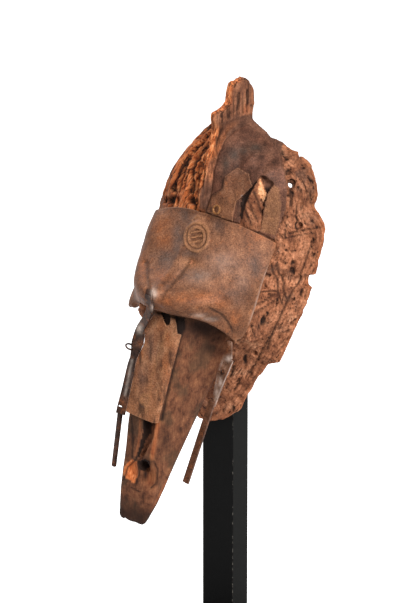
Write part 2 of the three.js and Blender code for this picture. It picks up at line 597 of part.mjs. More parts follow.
// Bed under the cap sheet, a little wider than the sheet, so that nothing is pressed into anything.
const BED = { over: 3, under: 0.35, wider: 0.012 };
const bedLaid = draped(...CAP_CELLS, (u, v) => capCorner(
  lerp(-BED.wider, 1 + BED.wider, u), lerp(-BED.wider, 1 + BED.wider, v)));
const bedOff = (w) => (w < 0.5 ? capOuter + BED.over : SHEET.bed - BED.under);
const capBed = mappedBox(...CAP_CELLS, 1, (u, v, w) => bedLaid(u, v, bedOff(w)));
wood = wood.subtract(capBed.subtract(prismXZ(EAR_SLOT, -60, 30)).subtract(crest()));
wood = wood.subtract(cap).subtract(cap.translate([0, GAP, 0]));

// Pendants, eyelet, nails
function barBetween(a, b, wide, thick, wideEnd = wide, flat = new THREE.Vector3(0, -1, 0)) {
  const from = new THREE.Vector3(...a);
  const to = new THREE.Vector3(...b);
  const along = to.clone().sub(from).normalize();
  const across = new THREE.Vector3().crossVectors(along, flat).normalize();
  const out = new THREE.Vector3().crossVectors(across, along).normalize();
  return mappedBox(1, 3, 1, (u, v, w) => {
    const half = lerp(wide, wideEnd, v) / 2;
    return from.clone().lerp(to, v).addScaledVector(across, lerp(-half, half, u))
      .addScaledVector(out, lerp(-thick / 2, thick / 2, w)).toArray();
  });
}

// Left strip: a strap over the root of the nose, carried down beside the nose sheet.
const STRIP = { thick: 1.8, off: 1, top: 401, low: 316, air: 0.5 };
const STRIP_LEFT = [[316, -30.6], [335, -30], [365, -30], [373, -29], [388, -32], [401, -30.5]];
const STRAP = [[-3.5, -111.8, 451, 7.5], [-3.5, -114.4, 446, 8], [-4, -113.6, 441, 8],
  [-4.5, -111.2, 434, 8], [-6.5, -109.6, 426, 8], [-13.5, -107, 415, 8.5], [-25.4, -103.6, 400, 9.5]];
let leftStrip = mappedBox(1, 12, 1, (u, v, w) => {
  const z = lerp(STRIP.top, STRIP.low, v);
  const x = lerp(curve(STRIP_LEFT, z), curve(NOSE_LEFT, z) - STRIP.air, u);
  return [x, noseFront(z) - STRIP.off - (w < 0.5 ? STRIP.thick : 0), z];
});
for (let i = 0; i + 1 < STRAP.length; i++) {
  const [from, to] = [STRAP[i], STRAP[i + 1]];
  leftStrip = leftStrip.add(barBetween(from.slice(0, 3), to.slice(0, 3), from[3], STRIP.thick, to[3]));
}
const ROD = { top: [-27.3, -131.3, 319], low: [-32, -137, 257] };
const leftRod = barBetween(ROD.top, ROD.low, 4.8, 3.2, 4);
leftStrip = leftStrip.subtract(barBetween([-26.9, -130.9, 324], ROD.low, 5.6, 4, 4.8));
const hookAt = (bead) => toSolid(
  new THREE.TorusGeometry(4.2, bead, 6, 16).rotateY(0.5).translate(-33, -111, 381));
const hook = hookAt(1);
leftStrip = leftStrip.subtract(hookAt(1.35));

const HANG_RIGHT = [[61.5, -62.5, 397], [60.5, -63.5, 379], [54, -65.5, 362], [45, -69.5, 324]];
let rightPlate = barBetween(HANG_RIGHT[0], HANG_RIGHT[1], 5, 2, 9)
  .add(barBetween(HANG_RIGHT[1], HANG_RIGHT[2], 13, 2, 13))
  .add(barBetween(HANG_RIGHT[2], HANG_RIGHT[3], 12, 2, 4.5));
const pinHole = new THREE.CylinderGeometry(2.1, 2.1, 20, 10, 1).translate(54, -65.5, 363);
rightPlate = rightPlate.subtract(toSolid(pinHole));
const rightBar = barBetween([46, -72.2, 330], [32, -97.5, 244], 7.5, 2.4, 7.2);

const EYELET = { x: 22.5, z: 524, out: 6.8 };
const eyelet = toSolid(new THREE.TorusGeometry(4.2, 1.1, 6, 16).rotateX(Math.PI / 2 - 0.35)
  .translate(EYELET.x, skin(EYELET.x, EYELET.z) - EYELET.out, EYELET.z));

// Stand
const post = mappedBox(1, 1, 1, (u, v, w) => [
  lerp(-POST.wide / 2, POST.wide / 2, u), lerp(POST.yFront, POST.yFront + POST.deep, 1 - w),
  lerp(FOOT.high + GAP, POST.top, v)]);
const foot = mappedBox(1, 1, 1, (u, v, w) => [
  lerp(-FOOT.wide / 2, FOOT.wide / 2, u), FOOT.yMid + lerp(-FOOT.deep / 2, FOOT.deep / 2, 1 - w),
  lerp(0, FOOT.high, v)]);

// Named pieces
// Room for the brow sheet: open in front of its face, a small clearance behind it and round its roll.
const browBed = mappedBox(18, 18, 1, (u, v, w) => {
  const [over, under] = v < ROLL.from ? [4.5, 2 * GAP] : [4 * GAP, 4 * GAP];
  return thickBrow(lerp(-0.009, 1.009, u), lerp(-0.012, 1.02, v), w, over, SHEET.thick + under);
});
wood = biggest(wood.subtract(browBed).subtract(ellipsoid(-74, -56, 424, 4, 5, 4, 8)));
cap = biggest(cap.subtract(browBed));
const lifted = (solid) => solid.translate([0, -GAP, 0]);
patch = patch.subtract(browBed).subtract(lifted(cap)).subtract(cap);
patch = biggest(patch.subtract(lifted(wood)).subtract(wood));
brow = brow.add(roundel(5, 494, 12.5, browY, 0.9, 3));
nose = nose.add(roundel(3, 336, 5, (x, z) => noseFront(z) - 3, 0.7, 2));

const PIECES = [
  ['mask_wood', wood, '#6b4230', 0.85, 0],
  ['cap_sheet', cap, '#5f4a3f', 0.6, 0.5],
  ['cap_patch', patch, '#67503f', 0.6, 0.5],
  ['brow_sheet', brow, '#6a4c3f', 0.55, 0.6],
  ['nose_sheet', nose, '#6b4f3a', 0.5, 0.7],
  ['eyelet', eyelet, '#7a5136', 0.6, 0.5],
  ['left_pendant', leftStrip, '#4a3a34', 0.5, 0.7],
  ['left_ring', hook, '#3a2c28', 0.6, 0.6],
  ['left_rod', leftRod, '#2e2624', 0.7, 0.5],
  ['right_pendant', rightPlate, '#7a6a60', 0.4, 0.8],
  ['right_bar', rightBar, '#5a4034', 0.5, 0.7],
  ['post', post, '#1a1b1c', 0.6, 0],
  ['foot', foot, '#1a1b1c', 0.6, 0],
];

const SIMPLIFY = { wood: 0.3, metal: 0.1 };   // how far the form may move when small facets are joined
const group = new THREE.Group();
group.name = 'marka_mask';
for (const [name, solid, colour, roughness, metalness] of PIECES) {
  const material = new THREE.MeshStandardMaterial({ color: colour, roughness, metalness });
  material.name = `${name}_finish`;
  const plain = solid.asOriginal().simplify(name === 'mask_wood' ? SIMPLIFY.wood : SIMPLIFY.metal);
  const mesh = new THREE.Mesh(toGeometry(plain), material);
  mesh.name = name;
  group.add(mesh);
}
export default group;
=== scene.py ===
"""Marka mask on its black post: the visual model.

The wood is the CAD carving remeshed finely and worn along its grain; the sheets of metal are laid
again over the same named forms with dents, folds and ragged edges. Sizes are in millimetres until
a mesh is made.
"""

import math
from types import SimpleNamespace

import bmesh
import bpy
import numpy as np
from mathutils import Matrix, Vector
from mathutils.bvhtree import BVHTree


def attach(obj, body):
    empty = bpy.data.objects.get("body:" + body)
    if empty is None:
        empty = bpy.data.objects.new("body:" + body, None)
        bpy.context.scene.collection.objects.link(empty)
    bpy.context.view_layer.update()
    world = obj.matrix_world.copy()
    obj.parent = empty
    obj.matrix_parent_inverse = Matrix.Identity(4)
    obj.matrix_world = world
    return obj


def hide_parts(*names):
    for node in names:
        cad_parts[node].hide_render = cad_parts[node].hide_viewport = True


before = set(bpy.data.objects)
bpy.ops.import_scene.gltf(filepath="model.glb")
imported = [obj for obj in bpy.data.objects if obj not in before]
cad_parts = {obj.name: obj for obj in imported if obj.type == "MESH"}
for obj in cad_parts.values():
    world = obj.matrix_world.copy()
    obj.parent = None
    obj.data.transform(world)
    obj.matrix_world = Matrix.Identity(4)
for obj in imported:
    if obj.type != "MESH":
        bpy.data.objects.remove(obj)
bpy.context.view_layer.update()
MM = 0.001

# Camera, worked out from the post's two faces and the mask's middle line in the photograph
AZIMUTH, ELEVATION, DISTANCE, PIXEL = 42.0, 20.0, 5000.0, 1.035
PICTURE = (410, 603)
turn, lift = math.radians(AZIMUTH), math.radians(ELEVATION)
RIGHT = np.array([math.cos(turn), math.sin(turn), 0])
TOWARDS = np.array([math.sin(turn) * math.cos(lift), -math.cos(turn) * math.cos(lift), math.sin(lift)])
UPWARDS = np.array([-math.sin(turn) * math.sin(lift), math.cos(turn) * math.sin(lift), math.cos(lift)])
AIM_HEIGHT = 408.2
AIM_ASIDE = -20.85  # in pixels
AIM = np.array([0, 0, AIM_HEIGHT]) + RIGHT * AIM_ASIDE * PIXEL

# Named sizes, the same as the CAD's, in rows of (height, reach) or points across and up
CENTRE_Z = 470.0
BROW_MID = [(400, -104), (415, -106), (426, -109), (436, -113), (446, -111), (454, -100), (462, -87),
            (470, -77), (480, -68), (492, -58), (504, -49), (516, -41)]
BROW_SIDE = [(396, -62), (415, -55.6), (438, -44.6), (464, -30), (495, -10), (516, -2)]
BROW_HALF = [(396, 66), (415, 72), (438, 77), (464, 79.5), (495, 79.5), (516, 77)]
BROW_FULL = [(430, 0), (445, 2), (455, 6), (470, 11), (485, 15), (500, 14), (510, 10), (518, 5)]
BROW_LUG = 15.0
BROW_CHEEK = 3.5
BROW_MIDDLE = SimpleNamespace(top=516, low=431)
RIDGE = SimpleNamespace(high=6.0, wide=8.0, start=434, end=521)
SWELL = (437, 6, 2.5)  # height, half width, how far out
DIP = (456, 9, 2.5)
LUG_LIFT = 10.0
NOSE_LINE = [(206, -145), (209, -147), (225, -143.5), (240, -141), (258, -138), (280, -136.5), (306, -134),
             (319, -131.5), (345, -122), (375, -111), (391, -105), (418, -95), (444, -88)]
NOSE_ACROSS = [(-20, -0.6), (-17, -1), (-9, -1.3), (4.5, -1.6), (17, -1.2), (22.4, -0.2), (25.5, 2.2),
               (26, 5)]
NOSE_LEFT = [(317, -18.5), (351, -19.7), (370, -20.3), (380, -18), (388, -16), (395, -17.5), (402, -20),
             (410, -16.5), (420, -11.5)]
EAR_SLOT = [(58, 562), (64, 561), (72, 555), (68, 545.5), (66.4, 533), (64.8, 515), (63.5, 500), (47.5, 500),
            (46, 518), (44, 531), (42.6, 537.5), (46.5, 541.5), (55.5, 555.5)]
EAR_FOOT = np.array([57, -24, 506])
EAR_UP, EAR_SIDE, EAR_FACE = (0.037, 0.194, 0.98), (-0.843, -0.521, 0.135), (0.537, -0.831, 0.144)
EAR_GROOVES = [[(40, 4.5), (17, -8.5)], [(30, 9.5), (13, -2.5)], [(22, 12), (5, 1)]]
CAP_OUTER = [(10, 598), (21, 593), (34, 588), (50, 585), (57, 580.5), (66, 574), (75, 566), (80.5, 556),
             (83, 548), (83, 528), (81, 514), (77, 497)]
CAP_OUTLINE = [(4, 598), (4, 500)] + CAP_OUTER[::-1]
SHEET = 1.4


# Numbers, noise and places
def curve(rows, s, column=1):
    """Smooth curve through rows of (position, value, ...), read at s."""
    xs = np.array([r[0] for r in rows], float)
    ys = np.array([r[column] for r in rows], float)
    slope = np.zeros(len(xs))
    slope[1:-1] = (ys[2:] - ys[:-2]) / (xs[2:] - xs[:-2])
    s = np.clip(np.asarray(s, float), xs[0], xs[-1])
    i = np.clip(np.searchsorted(xs, s, side="right") - 1, 0, len(xs) - 2)
    h = xs[i + 1] - xs[i]
    t = (s - xs[i]) / h
    t2 = t * t
    t3 = t2 * t
    return ((2 * t3 - 3 * t2 + 1) * ys[i] + (t3 - 2 * t2 + t) * h * slope[i]
            + (3 * t2 - 2 * t3) * ys[i + 1] + (t3 - t2) * h * slope[i + 1])


def smooth(lo, hi, v):
    """0 below lo, 1 above hi, eased between."""
    t = np.clip((np.asarray(v, float) - lo) / (hi - lo), 0, 1)
    return t * t * (3 - 2 * t)


HASH_STEPS = np.array([374761393, 668265263, 1440662683])
HASH_MIX = 1274126177


def noise(p, seed=0):
    """Value noise, -1 to 1, at points given in cells."""
    cell = np.floor(p).astype(np.int64)
    f = p - cell
    f = f * f * (3 - 2 * f)
    total = np.zeros(len(p))
    for corner in range(8):
        d = np.array([corner & 1, corner >> 1 & 1, corner >> 2 & 1])
        h = ((cell + d) @ HASH_STEPS + seed * HASH_MIX) & 0xFFFFFFFF
        h = ((h ^ (h >> 13)) * HASH_MIX) & 0xFFFFFFFF
        value = ((h ^ (h >> 16)) & 0xFFFF) / 65535.0
        total += value * np.prod(np.where(d, f, 1 - f), axis=1)
    return total * 2 - 1


FULL_SWING = 1.75  # three octaves of noise together


def layered(p, seed=0, octaves=3):
    """A few octaves of noise."""
    out = np.zeros(len(p))
    size = 1.0
    for k in range(octaves):
        out += noise(p * 2 ** k, seed + 17 * k) * size
        size *= 0.5
    return out / FULL_SWING


def seen(p):
    """Where points fall in the picture, across and down, in its pixels."""
    q = p - AIM
    size = DISTANCE / PIXEL / (DISTANCE - q @ TOWARDS)
    return PICTURE[0] / 2 + q @ RIGHT * size, PICTURE[1] / 2 - q @ UPWARDS * size


def inside(x, z, outline):
    """True within a closed outline."""
    out = np.zeros(np.shape(x), bool)
    for (ax, az), (bx, bz) in zip(outline, outline[1:] + outline[:1]):
        crosses = (az > z) != (bz > z)
        out ^= crosses & (x < ax + (z - az) * (bx - ax) / ((bz - az) or 1e-9))
    return out


def spot(x, z, places):
    """Soft spots, 0 to 1, at (x, z, half width, half height) places."""
    out = np.zeros(np.shape(x))
    for cx, cz, rx, rz in places:
        out = np.maximum(out, np.exp(-(((x - cx) / rx) ** 2 + ((z - cz) / rz) ** 2) * 0.8))
    return out


def to_segment(p, a, b):
    """Distance from points to a segment, in the plane of the outline."""
    a, b = np.array(a, float), np.array(b, float)
    t = np.clip(((p - a) @ (b - a)) / ((b - a) @ (b - a)), 0, 1)
    return np.linalg.norm(p - (a + t[..., None] * (b - a)), axis=-1)


def along(x, z, line, wide):
    """1 on a polyline, fading to 0 at wide mm from it."""
    p = np.stack([x, z], -1)
    out = np.zeros(np.shape(x))
    for a, b in zip(line, line[1:]):
        out = np.maximum(out, smooth(wide, 0.0, to_segment(p, a, b)))
    return out


def marked(across, down, spots=(), lines=()):
    """The strongest of soft spots and lines at places in the picture, each row with its strength."""
    out = np.zeros(np.shape(across))
    for strength, places in spots:
        out = np.maximum(out, strength * spot(across, down, places))
    for strength, line, wide in lines:
        out = np.maximum(out, strength * along(across, down, line, wide))
    return out


def strongest(*amounts):
    return np.clip(np.maximum.reduce(np.broadcast_arrays(*amounts)), 0, 1)


# Meshes
def cad_piece(name):
    """A copy of a CAD node's mesh, points merged."""
    bm = bmesh.new()
    bm.from_mesh(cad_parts[name].data)
    bmesh.ops.remove_doubles(bm, verts=bm.verts, dist=2e-6)
    mesh = bpy.data.meshes.new(name)
    bm.to_mesh(mesh)
    bm.free()
    return mesh


def place(name, mesh, material, stands_for):
    """Links a finished mesh as the piece that stands for CAD nodes."""
    obj = bpy.data.objects.new(name + "_look", mesh)
    bpy.context.scene.collection.objects.link(obj)
    mesh.materials.clear()
    mesh.materials.append(material)
    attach(obj, "root")
    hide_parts(*stands_for)
    return obj


def points_of(mesh):
    co = np.zeros(len(mesh.vertices) * 3)
    mesh.vertices.foreach_get("co", co)
    return co.reshape(-1, 3) / MM


def set_points(mesh, points):
    mesh.vertices.foreach_set("co", (points * MM).ravel())
    mesh.update()


def normals_of(mesh):
    n = np.zeros(len(mesh.vertices) * 3)
    mesh.vertices.foreach_get("normal", n)
    return n.reshape(-1, 3)


def edges_of(mesh):
    e = np.zeros(len(mesh.edges) * 2, np.int64)
    mesh.edges.foreach_get("vertices", e)
    return e.reshape(-1, 2)


def relax(values, edges, rounds, share=0.5):
    """Averages values over neighbouring points."""
    count = np.zeros(len(values))
    np.add.at(count, edges[:, 0], 1)
    np.add.at(count, edges[:, 1], 1)
    count = np.maximum(count, 1)
    wide = values.ndim > 1
    for _ in range(rounds):
        total = np.zeros_like(values)
        np.add.at(total, edges[:, 0], values[edges[:, 1]])
        np.add.at(total, edges[:, 1], values[edges[:, 0]])
        mean = total / (count[:, None] if wide else count)
        values = values + (mean - values) * share
    return values


def paint(mesh, name, values):
    """Stores a number per point for the material to read."""
    layer = mesh.attributes.new(name, "FLOAT", "POINT")
    layer.data.foreach_set("value", np.asarray(values, np.float32))


def thick_sheet(name, outer, keep, paints):
    """A grid laid on its outer points, cells not kept taken out, then given the sheet's thickness."""
    nu, nv = outer.shape[:2]
    bm = bmesh.new()
    bmesh.ops.create_grid(bm, x_segments=nu - 1, y_segments=nv - 1, size=1)
    cell = 2 / np.array([nu - 1, nv - 1])
    dropped = []
    for face in bm.faces:
        i, j = ((np.array(face.calc_center_median()[:2]) + 1) // cell).astype(int)
        if not keep[i, j]:
            dropped.append(face)
    layers = {key: bm.verts.layers.float.new(key) for key in (*paints, "rim")}
    for vert in bm.verts:
        i, j = np.rint((np.array(vert.co[:2]) + 1) / cell).astype(int)
        vert.co = outer[i, j] * MM
        for key, values in paints.items():
            vert[layers[key]] = values[i, j]
    bmesh.ops.delete(bm, geom=dropped, context="FACES")
    for vert in bm.verts:
        vert[layers["rim"]] = vert.is_boundary
    bmesh.ops.recalc_face_normals(bm, faces=bm.faces)
    if sum(face.normal.y for face in bm.faces) > 0:
        bmesh.ops.reverse_faces(bm, faces=bm.faces)
    bmesh.ops.solidify(bm, geom=bm.faces[:], thickness=SHEET * MM)
    mesh = bpy.data.meshes.new(name)
    bm.to_mesh(mesh)
    bm.free()
    mesh.polygons.foreach_set("use_smooth", [True] * len(mesh.polygons))
    return mesh


# Colour and shader nodes
FACTOR, UNDER, OVER, MIXED = 0, 6, 7, 2  # a Mix node's sockets for colours


def linear(hex_colour):
    """sRGB hex to linear RGBA."""
    parts = [int(hex_colour[i:i + 2], 16) / 255 for i in (1, 3, 5)]
    return [c / 12.92 if c <= 0.04045 else ((c + 0.055) / 1.055) ** 2.4 for c in parts] + [1.0]


def connect(tree, node, inputs):
    """Sets or links a node's inputs; a hex colour is turned to linear."""
    for key, value in inputs.items():
        if isinstance(value, bpy.types.NodeSocket):
            tree.links.new(value, node.inputs[key])
        else:
            node.inputs[key].default_value = linear(value) if isinstance(value, str) else value


def add(tree, kind, inputs=None, out=0, stops=(), **settings):
    """Adds a shader node with its settings, inputs and colour stops, and gives one of its outputs."""
    node = tree.nodes.new("ShaderNode" + kind)
    for key, value in settings.items():
        setattr(node, key, value)
    connect(tree, node, inputs or {})
    colours = node.color_ramp.elements if stops else ()
    while len(colours) > 1:
        colours.remove(colours[-1])
    for k, (position, hex_colour) in enumerate(stops):
        colour = colours.new(position) if k else colours[0]
        colour.position = position
        colour.color = linear(hex_colour)
    return node.outputs[out]


def material(name):
    """A bare material with its Principled shader; returns material, tree, shader."""
    mat = bpy.data.materials.new(name)
    mat.use_nodes = True
    tree = mat.node_tree
    return mat, tree, tree.nodes["Principled BSDF"]


def patches(tree, size_mm, detail=4.0, rough=0.55, stretch=(1, 1, 1)):
    """Uneven patches size_mm across, stretched along an axis."""
    coords = add(tree, "TexCoord", out="Object")
    scaled = add(tree, "Mapping", {"Vector": coords, "Scale": [1 / s for s in stretch]})
    return add(tree, "TexNoise", {"Vector": scaled, "Scale": 1 / (size_mm * MM), "Detail": detail,
                                  "Roughness": rough})


def fibres(tree, across_mm, along_mm, detail=4.0, rough=0.6):
    """Streaks drawn out along the stored grain of the wood."""
    grain = add(tree, "Attribute", out="Vector", attribute_name="grain")
    cells = add(tree, "VectorMath", {0: grain, 1: (1 / across_mm, 1 / across_mm, 1 / along_mm)},
                operation="MULTIPLY")
    return add(tree, "TexNoise", {"Vector": cells, "Scale": 1.0, "Detail": detail, "Roughness": rough})


def where(tree, pattern, lo, hi, most=1.0):
    """Where a pattern is strong: 0 below lo, rising softly to most above hi."""
    return add(tree, "MapRange", {"Value": pattern, "From Min": lo, "From Max": hi, "To Max": most},
               interpolation_type="SMOOTHSTEP")


def darkened_where_low(tree, share, colour, pattern, stops):
    """A pattern's low places, its hollows, darken a colour."""
    low_tone = add(tree, "ValToRGB", {"Fac": pattern}, stops=stops)
    return add(tree, "Mix", {FACTOR: share, UNDER: colour, OVER: low_tone}, MIXED, data_type="RGBA",
               blend_type="MULTIPLY")


def laid_over(tree, colour, layers):
    """Colours laid one over another, each with how much of it shows."""
    for amount, over in layers:
        colour = add(tree, "Mix", {FACTOR: amount, UNDER: colour, OVER: over}, MIXED, data_type="RGBA")
    return colour


def fine_relief(tree, layers):
    """Relief too fine for the mesh, from (height, depth in mm) layers."""
    below = {}
    for height, depth_mm in layers:
        normal = add(tree, "Bump", {"Height": height, "Distance": depth_mm * MM, "Strength": 1.0, **below})
        below = {"Normal": normal}
    return normal


def stored(tree, names):
    """The amounts that a mesh stores at its points, by name."""
    return {name: add(tree, "Attribute", out="Fac", attribute_name=name) for name in names}


# Old dry wood
def weathered(tree, fibre, crumb):
    """The flank: brown to orange-brown in blotches, grey in places, darker between crumbs and fibres."""
    colour = add(tree, "ValToRGB", {"Fac": patches(tree, 14, 4, 0.6)},
                 stops=[(0.3, "#7b4c36"), (0.47, "#af7351"), (0.58, "#ca8a65"), (0.72, "#da9f79")])
    grey = where(tree, patches(tree, 22, 5, 0.62), 0.55, 0.7, 0.6)
    colour = laid_over(tree, colour, [(grey, "#6b5245")])
    colour = darkened_where_low(tree, 0.75, colour, crumb, [(0.32, "#6a5a54"), (0.48, "#c9bdb8"), (0.62, "#ffffff")])
    return darkened_where_low(tree, 0.5, colour, fibre, [(0.36, "#7d6e66"), (0.5, "#e0d8d4"), (0.6, "#ffffff")])


def handled(tree):
    """The muzzle: darkened and closed by hands and smoke, with olive patches."""
    colour = add(tree, "ValToRGB", {"Fac": patches(tree, 9, 6, 0.7)},
                 stops=[(0.34, "#482a1b"), (0.48, "#714630"), (0.58, "#85563b"), (0.7, "#a16b49")])
    olive = where(tree, patches(tree, 38, 4), 0.52, 0.62, 0.55)
    colour = laid_over(tree, colour, [(olive, "#4d3c2b")])
    return darkened_where_low(tree, 0.55, colour, fibres(tree, 1.3, 8, 4, 0.7),
                  [(0.3, "#8a7a70"), (0.5, "#d8d0cc"), (0.66, "#ffffff")])


def patinated(tree):
    """Wood worn smooth beside and under the metal: an even dark brown."""
    colour = add(tree, "ValToRGB", {"Fac": patches(tree, 10, 6, 0.62)},
                 stops=[(0.3, "#4f3428"), (0.5, "#6e4938"), (0.7, "#8b604a")])
    return darkened_where_low(tree, 0.6, colour, patches(tree, 1.5, 4, 0.75), [(0.32, "#6b605b"), (0.6, "#ffffff")])


def wood_material():
    """Old dry carved wood: orange and fibrous where it broke open, brown and crumbly on the flank, with
    painted shade in its hollows, splits and gaps.
    """
    mat, tree, shader = material("eroded_carved_wood")
    amount = stored(tree, ("handled", "fresh_and_highlit", "split", "worn", "rifted", "shade", "deep"))
    # Bundles of fibres 2 mm wide and 26 mm long; single ones are too fine to show and aren't drawn
    fibre = fibres(tree, 2.0, 26, 5, 0.65)
    crumb = patches(tree, 2.6, 5, 0.7)
    open_wood = add(tree, "ValToRGB", {"Fac": fibre},
                    stops=[(0.3, "#5a2614"), (0.4, "#ac5429"), (0.54, "#d17a46"), (0.7, "#e5a16d")])
    new_break = add(tree, "ValToRGB", {"Fac": fibre},
                    stops=[(0.35, "#c07d4f"), (0.5, "#dd9f70"), (0.7, "#efc096")])
    colour = laid_over(tree, weathered(tree, fibre, crumb), [
        (amount["handled"], handled(tree)), (amount["fresh_and_highlit"], open_wood),
        (amount["split"], new_break), (amount["worn"], patinated(tree))])
    # Worm holes and dry splits on bare wood, and wide rifts between the fibres of the open wood, all
    # darkened with painted shade
    closed = add(tree, "Math", {0: amount["handled"], 1: amount["worn"]}, operation="MAXIMUM")
    bare = add(tree, "Math", {0: 1.0, 1: closed}, operation="SUBTRACT")
    holes = where(tree, fibres(tree, 2.4, 4.5, 2, 0.5), 0.645, 0.7)
    splits = where(tree, fibres(tree, 1.3, 24, 3, 0.6), 0.61, 0.68)
    cut = add(tree, "Math", {0: holes, 1: splits}, operation="MAXIMUM")
    cut = add(tree, "Math", {0: cut, 1: bare}, operation="MULTIPLY")
    darkened = add(tree, "Math", {0: cut, 1: 0.85}, operation="MULTIPLY")
    rifts = where(tree, fibres(tree, 3.4, 36, 4, 0.55), 0.55, 0.6)
    rifts = add(tree, "Math", {0: rifts, 1: amount["rifted"]}, operation="MULTIPLY")
    # Painted shade in holes, splits and rifts; then the stored shade, which is painted shadow mixed with
    # handled and olive darkening; then the darkest painted shade of deep places
    colour = laid_over(tree, colour, [(darkened, "#2c160d"), (rifts, "#1c0b05"),
                                      (amount["shade"], "#2a1810"), (amount["deep"], "#140804")])
    gaps = add(tree, "Math", {0: cut, 1: rifts}, operation="MAXIMUM")
    sound = add(tree, "Math", {0: 1.0, 1: gaps}, operation="SUBTRACT")
    fine_fibre = fibres(tree, 0.9, 7, 3, 0.6)
    relief = fine_relief(tree, [(fibre, 0.7), (crumb, 0.5), (sound, 1.0), (fine_fibre, 0.25)])
    connect(tree, shader, {"Base Color": colour, "Roughness": 0.82, "Metallic": 0.0, "Normal": relief,
                           "Specular IOR Level": 0.2})
    return mat


# Metal
GOLD = "#b07d56"
PALE_WEAR_AND_HIGHLIGHT = "#d8c4b6"


def sheet_material(name, low, mid, high, metal=0.2, rough=0.58, dull="#5f5b59", rust="#ad683d"):
    """Hammered metal under an old brown patina: soft sheen, grey where rubbed, orange where rusty, pale
    where rubbed and at painted highlights, dark where shade is painted.
    """
    mat, tree, shader = material(name)
    amount = stored(tree, ("grey", "rust", "gold", "rim", "pale", "dark"))
    # The grit of the patina is finer than a pixel, so it is drawn 1.5 mm across
    grit = patches(tree, 1.5, 4, 0.75)
    ragged = patches(tree, 5, 5, 0.72)
    colour = add(tree, "ValToRGB", {"Fac": patches(tree, 13, 6, 0.62)},
                 stops=[(0.3, low), (0.5, mid), (0.68, high)])
    colour = laid_over(tree, colour, [(where(tree, ragged, 0.52, 0.66, 0.4), rust)])

    def shows_through(colour, name, tint, reach):
        """A stored mark shows in ragged patches."""
        patchy = add(tree, "MapRange", {"Value": ragged, "From Min": 0.35, "From Max": 0.6,
                                        "To Min": 0.4 * reach, "To Max": reach})
        seen_here = add(tree, "Math", {0: amount[name], 1: patchy}, operation="MULTIPLY")
        return laid_over(tree, colour, [(seen_here, tint)])

    for key, tint, reach in (("grey", dull, 0.72), ("rust", rust, 0.7), ("gold", GOLD, 0.85)):
        colour = shows_through(colour, key, tint, reach)
    colour = darkened_where_low(tree, 0.85, colour, grit, [(0.32, "#665b56"), (0.5, "#cfc6c1"), (0.66, "#ffffff")])
    # A painted highlight along the sheet's edges
    painted_edge_highlight = add(tree, "Math", {0: amount["rim"], 1: 0.4}, operation="MULTIPLY")
    colour = laid_over(tree, colour, [(painted_edge_highlight, high)])
    # Pale wear and painted highlights
    colour = shows_through(colour, "pale", PALE_WEAR_AND_HIGHLIGHT, 1.0)
    # Painted shade in creases, gaps and under folds, with dark streaks
    colour = laid_over(tree, colour, [(amount["dark"], "#20120c")])
    relief = fine_relief(tree, [(patches(tree, 9, 3, 0.5), 0.7), (ragged, 0.3), (grit, 0.15)])
    connect(tree, shader, {"Base Color": colour, "Roughness": rough, "Metallic": metal, "Normal": relief,
                           "Specular IOR Level": 0.22})
    return mat


# Paint of the stand
POST = SimpleNamespace(half=21.2, front=-12.5, foot_top=25, corner=0.9, arris=0.3)


def paint_material():
    """Satin black paint on planed timber: near black, soft sheen, chipped pale at the front corners, its
    side faces painted lighter as painted light.
    """
    mat, tree, shader = material("satin_black_painted_timber")
    side, front, up = add(tree, "SeparateXYZ", {"Vector": add(tree, "TexCoord", out="Object")}).node.outputs
    aside = add(tree, "Math", {0: side}, operation="ABSOLUTE")
    at_side = where(tree, aside, (POST.half - POST.corner) * MM, POST.half * MM)
    at_front = where(tree, front, (POST.front + POST.corner) * MM, POST.front * MM)
    above_foot = where(tree, up, POST.foot_top * MM, (POST.foot_top + 1) * MM)
    corner = add(tree, "Math", {0: at_side, 1: at_front}, operation="MULTIPLY")
    corner = add(tree, "Math", {0: corner, 1: above_foot}, operation="MULTIPLY")
    # Painted light: the side faces a shade lighter than the front
    painted_light_side = where(tree, aside, (POST.half - POST.arris) * MM, POST.half * MM)
    painted_light_side = add(tree, "Math", {0: painted_light_side, 1: above_foot}, operation="MULTIPLY")
    chips = where(tree, patches(tree, 5, 5, 0.8), 0.54, 0.6)
    chips = add(tree, "Math", {0: chips, 1: corner}, operation="MULTIPLY")
    black = add(tree, "Mix", {FACTOR: painted_light_side, UNDER: "#0c0c0c", OVER: "#191918"}, MIXED, data_type="RGBA")
    colour = laid_over(tree, black, [(chips, "#7d7870")])
    relief = fine_relief(tree, [(patches(tree, 1.2, 3, 0.6, (1, 1, 9)), 0.12)])
    connect(tree, shader, {"Base Color": colour, "Roughness": 0.6, "Metallic": 0.0, "Normal": relief,
                           "Specular IOR Level": 0.06})
    return mat


# Form of the brow sheet, the same as the CAD's
def brow_half(z):
    return curve(BROW_HALF, z)


def brow_left(x, z):
    """The fuller left side of the brow, with its lug low down."""
    s = -x / brow_half(z)
    full = curve(BROW_FULL, z) * smooth(0.2, 0.75, s) * (1 - 0.6 * smooth(0.84, 1, s))
    return np.where(x < 0, full + BROW_LUG * smooth(0.6, 1, s) * smooth(440, 405, z), 0.0)


def brow_swell(x, z):
    """Right of the nose: a swelling above the lower edge, a shallow hollow over it."""
    swell, dip = (row[2] * np.exp(-(((z - row[0]) / row[1]) ** 2)) for row in (SWELL, DIP))
    return smooth(4, 16, x) * smooth(66, 54, x) * (swell - dip)


